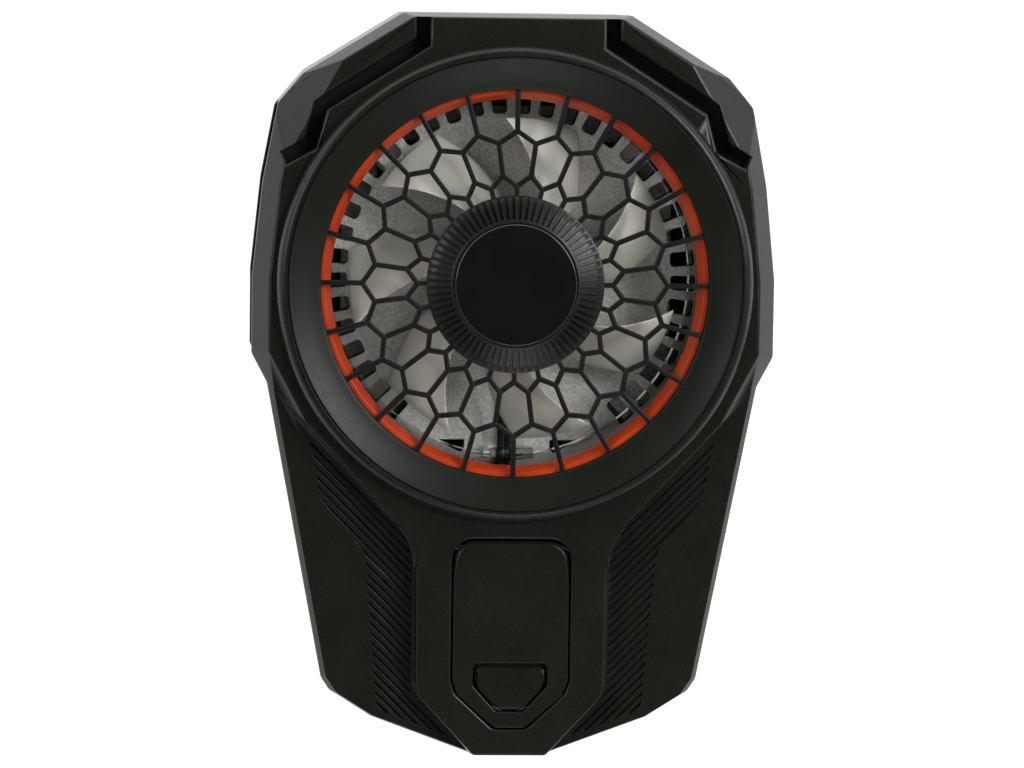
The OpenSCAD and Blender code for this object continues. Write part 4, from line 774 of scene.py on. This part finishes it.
softened("standBack", "stand_back_plate", "steel", stand["plateEdge"], lambda at, e: 1)

# clamp
clamp = {"edge": 0.45 * mm, "hookLow": 0.9 * mm, "highShare": 0.3, "padEdge": 0.2 * mm, "ribs": 9,
         "ribWide": 0.55 * mm, "ribOut": 0.3 * mm, "ribInset": 0.3 * mm, "ribRound": 0.16 * mm,
         "contactEdge": 0.25 * mm, "contactLow": 0.1 * mm, "sliderEdge": 0.25 * mm}
for name, node in (("upperJaw", "upper_jaw"), ("lowerJaw", "lower_jaw")):
    softened(name, node, "body", clamp["edge"],
             lambda at, e: 1 if at.z < clamp["hookLow"] else clamp["highShare"])
for name, node, side in (("upperPad", "upper_jaw_pad", 1), ("lowerPad", "lower_jaw_pad", -1)):
    low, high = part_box(node)
    grip, back = (low.y, high.y) if side > 0 else (high.y, low.y)
    foot, root = grip + side * clamp["ribOut"], grip + side * 2 * clamp["ribOut"]  # of the ribs
    bm = block(bmesh.new(), (low.x, min(foot, back), low.z), (high.x, max(foot, back), high.z),
               clamp["padEdge"])
    slab = addPiece(name, bm, "jaw_pad", None)
    pitch = (high.z - low.z) / clamp["ribs"]
    z = low.z + pitch / 2
    bm = block(bmesh.new(), (low.x + clamp["ribInset"], min(grip, root), z - clamp["ribWide"] / 2),
               (high.x - clamp["ribInset"], max(grip, root), z + clamp["ribWide"] / 2), clamp["ribRound"], 3)
    ribs = grown(addPiece(name + "Ribs", bm, "jaw_pad", None), rowOfCopies, Count=clamp["ribs"],
                 Step=(0.0, 0.0, pitch), Finish=finish["jaw_pad"])
    settle(combined(slab, ribs), bodyOf[node], [node])
softened("contactPad", "contact_pad", "thermal_pad", clamp["contactEdge"],
         lambda at, e: 1 if at.z < clamp["contactLow"] else 0)
softened("sliderBar", "slider", "slider", clamp["sliderEdge"], lambda at, e: 1)
print("clamp: jaws, ribbed pads, contact pad")

# screws, one detailed unit at each CAD screw
screw = {"socket": 0.45, "round": 0.22, "depth": 0.5, "mouth": 1.12, "mouthDeep": 0.07, "face": 0.72,
         "pitch": 0.45 * mm, "core": 0.94, "crest": 0.12 * mm, "tip": 0.7, "tipLong": 0.2 * mm,
         "fewest": 4, "turns": 36, "turned": 1.0, "seed": 7}


def screwUnit(name, headR, headH, shankR, length):
    # head at the bottom with a hex socket, shank with turned rings
    top = [(headR, headH, 0), (shankR, headH, 0)]
    threads = max(screw["fewest"], round((length - headH) / screw["pitch"]))
    for k in range(threads):
        z = headH + (length - headH) * (k + 0.5) / threads
        top += [(shankR * screw["core"], z, 0), (shankR, z + screw["crest"], 0)]
    top = [p for p in top if p[1] < length - screw["tipLong"]]
    top += [(shankR * screw["tip"], length, 0), (0, length, 0)]
    loop = rounded([(headR * screw["face"], 0, 0), (headR, 0, screw["round"] * headH), *top], 3)
    bm = bmesh.new()
    rings = []
    turns = screw["turns"]
    for k in range(turns):
        c, s = math.cos(k * math.tau / turns), math.sin(k * math.tau / turns)
        rings.append([bm.verts.new((p[0] * c, p[0] * s, p[1])) for p in loop])
    for k in range(turns):
        for i in range(len(loop) - 1):
            bm.faces.new((rings[k - 1][i], rings[k][i], rings[k][i + 1], rings[k - 1][i + 1]))
    hexR = headR * screw["socket"]

    def hexRing(r, z):  # six flats, sampled as often as the head
        ring = []
        for k in range(turns):
            a = k * math.tau / turns
            flat = math.cos(math.pi / 6) / math.cos((a + math.pi / 6) % (math.pi / 3) - math.pi / 6)
            ring.append(bm.verts.new((r * flat * math.cos(a), r * flat * math.sin(a), z)))
        return ring

    loops = [[ring[0] for ring in rings], hexRing(hexR * screw["mouth"], 0),
             hexRing(hexR, screw["mouthDeep"] * headH), hexRing(hexR, screw["depth"] * headH)]
    for a, b in zip(loops, loops[1:]):
        for k in range(turns):
            bm.faces.new((a[k - 1], a[k], b[k], b[k - 1]))
    bm.faces.new(loops[-1])
    bmesh.ops.remove_doubles(bm, verts=bm.verts, dist=weld["made"])
    return addPiece(name, bm, "screw", None)


for name, node, shank, headH in (
        ("caseScrews", "case_screws", 1.0, 1.0), ("upperJawScrews", "upper_jaw_screws", 1.0, 1.0),
        ("sliderScrews", "slider_screws", 0.8, 0.8), ("pcbScrews", "pcb_screws", 0.8, 0.8),
        ("sinkScrews", "heatsink_screws", 1.0, 1.0)):
    boxes = islands(node)
    low, high = boxes[0]
    headDown = node != "heatsink_screws"
    unit = screwUnit(name + "Unit", (high.x - low.x) / 2, headH * mm, shank * mm, high.z - low.z)
    if not headDown:
        unit.data.transform(Matrix.Rotation(math.pi, 4, "X"))
    spots = [((a.x + b.x) / 2, (a.y + b.y) / 2, a.z if headDown else b.z) for a, b in boxes]
    mesh = bpy.data.meshes.new(name)
    mesh.from_pydata(spots, [], [])
    piece = bpy.data.objects.new(name, mesh)
    scene.collection.objects.link(piece)
    grown(piece, copiesAtPoints, Unit=unit, Turn=screw["turned"], Seed=screw["seed"], Finish=finish["screw"])
    bpy.data.objects.remove(unit)
    settle(piece, bodyOf[node], [node])
print("screws done")

# charging port with its contacts
port = {"edge": 0.12 * mm, "contacts": 12, "pitch": 0.5 * mm, "wide": 0.26 * mm, "long": 3.2 * mm,
        "out": 0.02 * mm, "tongue": 0.7 * mm, "tongueIn": 1.3 * mm}
softened("usbPort", "usb_port", "steel", port["edge"], lambda at, e: 1)
low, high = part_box("usb_port")
front = low.y + port["tongueIn"]
bm = bmesh.new()
for side in (1, -1):
    z = (low.z + high.z) / 2 + side * port["tongue"] / 2
    block(bm, (-port["wide"] / 2, front, z - port["out"]),
          (port["wide"] / 2, front + port["long"], z + port["out"]))
bmesh.ops.translate(bm, vec=(-port["pitch"] * (port["contacts"] - 1) / 2, 0, 0), verts=bm.verts)
contacts = grown(addPiece("portContacts", bm, "bronze", None, material=gilt), rowOfCopies,
                 Count=port["contacts"], Step=(port["pitch"], 0.0, 0.0), Finish=gilt)
settle(contacts, "housing")

# leads, as smooth round wires
for name, node in (("fanLeads", "fan_leads"), ("coolerLeads", "tec_leads")):
    addPiece(name, merged(node), "lead", bodyOf[node], [node], sharp=60)
print("port and leads done")

# springs, each a smooth copy of its CAD node with a mesh of its own
springs = {
    "clampSprings": {"node": "clamp_springs", "joint": "clamp_slide", "axis": (0, 1, 0),
                     "held": (0, -52.3, 0), "travel": 18.0},
    "latchBow": {"node": "latch_spring", "joint": "latch_press", "axis": (0, 0, 1),
                 "held": (0, 0, 25.4), "travel": 0.45},
}
for name, spring in springs.items():
    node, axis = spring["node"], Vector(spring["axis"])
    low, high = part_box(node)
    piece = addPiece(name, merged(node, 0), "steel", bodyOf[node], [node], sharp=50)
    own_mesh(piece)
print("springs done")

# CAD nodes that show as they are
carried = {
    "steel": ["rotor_yoke", "fan_shaft", "shaft_clip", "stator_core", "guide_rods"],
    "grille": ["stand_pin"],
    "magnet": ["magnet_ring"], "bronze": ["bearing_bush"], "copper": ["stator_coils"],
    "board": ["fan_pcb", "main_pcb"], "thermal_pad": ["thermal_sheet"],
    "ceramic": ["tec_hot_plate", "tec_cold_plate"], "pellet": ["tec_pellets"],
    "foam": ["insulation_frame"], "aluminium": ["cold_plate"],
}
for slotName, names in carried.items():
    for name in names:
        nodes[name].data.materials.clear()
        nodes[name].data.materials.append(finish[slotName])

# camera, fitted to the photograph's mirrored pairs
view = {"eye": (-26.32, 35.25, 499.4), "aim": (-0.379, -11.931, 29.4), "roll": 0.8, "lens": 137.29,
        "sensor": 36, "nearest": 0.01}
eye, aim = Vector(view["eye"]) * mm, Vector(view["aim"]) * mm
ahead = (aim - eye).normalized()
right = ahead.cross(Vector((0, 1, 0))).normalized()
up = right.cross(ahead)
c, s = math.cos(math.radians(view["roll"])), math.sin(math.radians(view["roll"]))
axes = Matrix((right * c + up * s, up * c - right * s, -ahead)).transposed()
lens = bpy.data.cameras.new("camera")
lens.lens = view["lens"]
lens.sensor_width = view["sensor"]
lens.clip_start = view["nearest"]
camera = bpy.data.objects.new("camera", lens)
camera.matrix_world = Matrix.Translation(eye) @ axes.to_4x4()
scene.collection.objects.link(camera)
scene.camera = camera


# floor, lamps and world
ground = {"size": 1.6, "shade": 0.5, "mottle": 0.01, "patch": 0.05, "rough": 0.9, "glow": 0.80}


def paleFloor(name):
    # the glow shows to the camera, in gloss and through clear plastic, and adds no diffuse light
    material, tree, shader, place = newFinish(name, ground["rough"])
    tones(tree, noise(tree, place, ground["patch"]), shader.inputs["Base Color"],
          (ground["shade"],) * 3, (ground["shade"] + ground["mottle"],) * 3)
    path = tree.nodes.new("ShaderNodeLightPath")
    total = path.outputs["Is Camera Ray"]
    for ray in ("Is Glossy Ray", "Is Transmission Ray"):
        add = tree.nodes.new("ShaderNodeMath")
        add.operation = "MAXIMUM"
        tree.links.new(total, add.inputs[0])
        tree.links.new(path.outputs[ray], add.inputs[1])
        total = add.outputs[0]
    spread(tree, total, shader.inputs["Emission Strength"], 0, ground["glow"], (0, 1))
    shader.inputs["Emission Color"].default_value = (1, 1, 1, 1)
    return material


bm = bmesh.new()
bmesh.ops.create_grid(bm, x_segments=1, y_segments=1, size=ground["size"])
bmesh.ops.translate(bm, vec=(0, 0, cadBox[0][2]), verts=bm.verts)
floorMesh = bpy.data.meshes.new("floor")
bm.to_mesh(floorMesh)
bm.free()
floorMesh.materials.append(paleFloor("floorPale"))
floor = bpy.data.objects.new("floor", floorMesh)
scene.collection.objects.link(floor)

lampAim = Vector((0, 0, 0.02))
lamps = {
    "softKey": {"at": (0.54, 0.26, 0.70), "size": 0.36, "power": 6.0},
    "softLeft": {"at": (-0.62, 0.18, 0.58), "size": 0.36, "power": 2.1},
    "softFront": {"at": (0.06, -0.60, 0.68), "size": 0.36, "power": 1.5},
    "softTop": {"at": (-0.06, 0.02, 0.90), "size": 0.50, "power": 1.0, "gloss": False},
}
for name, lamp in lamps.items():
    data = bpy.data.lights.new(name, "AREA")
    data.energy = lamp["power"]
    data.size = lamp["size"]
    source = bpy.data.objects.new(name, data)
    source.location = lamp["at"]
    source.rotation_euler = (lampAim - Vector(lamp["at"])).to_track_quat("-Z", "Y").to_euler()
    source.visible_glossy = lamp.get("gloss", True)  # a fill that leaves no highlight
    scene.collection.objects.link(source)

# a bright tent, dark above and brighter behind
sky = {"low": 1.0, "high": 0.012, "rise": (0.16, 0.62), "front": 1.1, "behind": 3.2, "deep": (0, 0.6)}
world = scene.world or bpy.data.worlds.new("world")
scene.world = world
world.use_nodes = True
skyTree = world.node_tree
skyAxes = skyTree.nodes.new("ShaderNodeSeparateXYZ")
skyTree.links.new(skyTree.nodes.new("ShaderNodeTexCoord").outputs["Generated"], skyAxes.inputs[0])
backdrop = skyTree.nodes["Background"]
tones(skyTree, skyAxes.outputs["Z"], backdrop.inputs["Color"],
      (sky["low"],) * 3, (sky["high"],) * 3, sky["rise"])
spread(skyTree, skyAxes.outputs["Y"], backdrop.inputs["Strength"], sky["front"], sky["behind"], sky["deep"])
scene.view_settings.view_transform = "Standard"
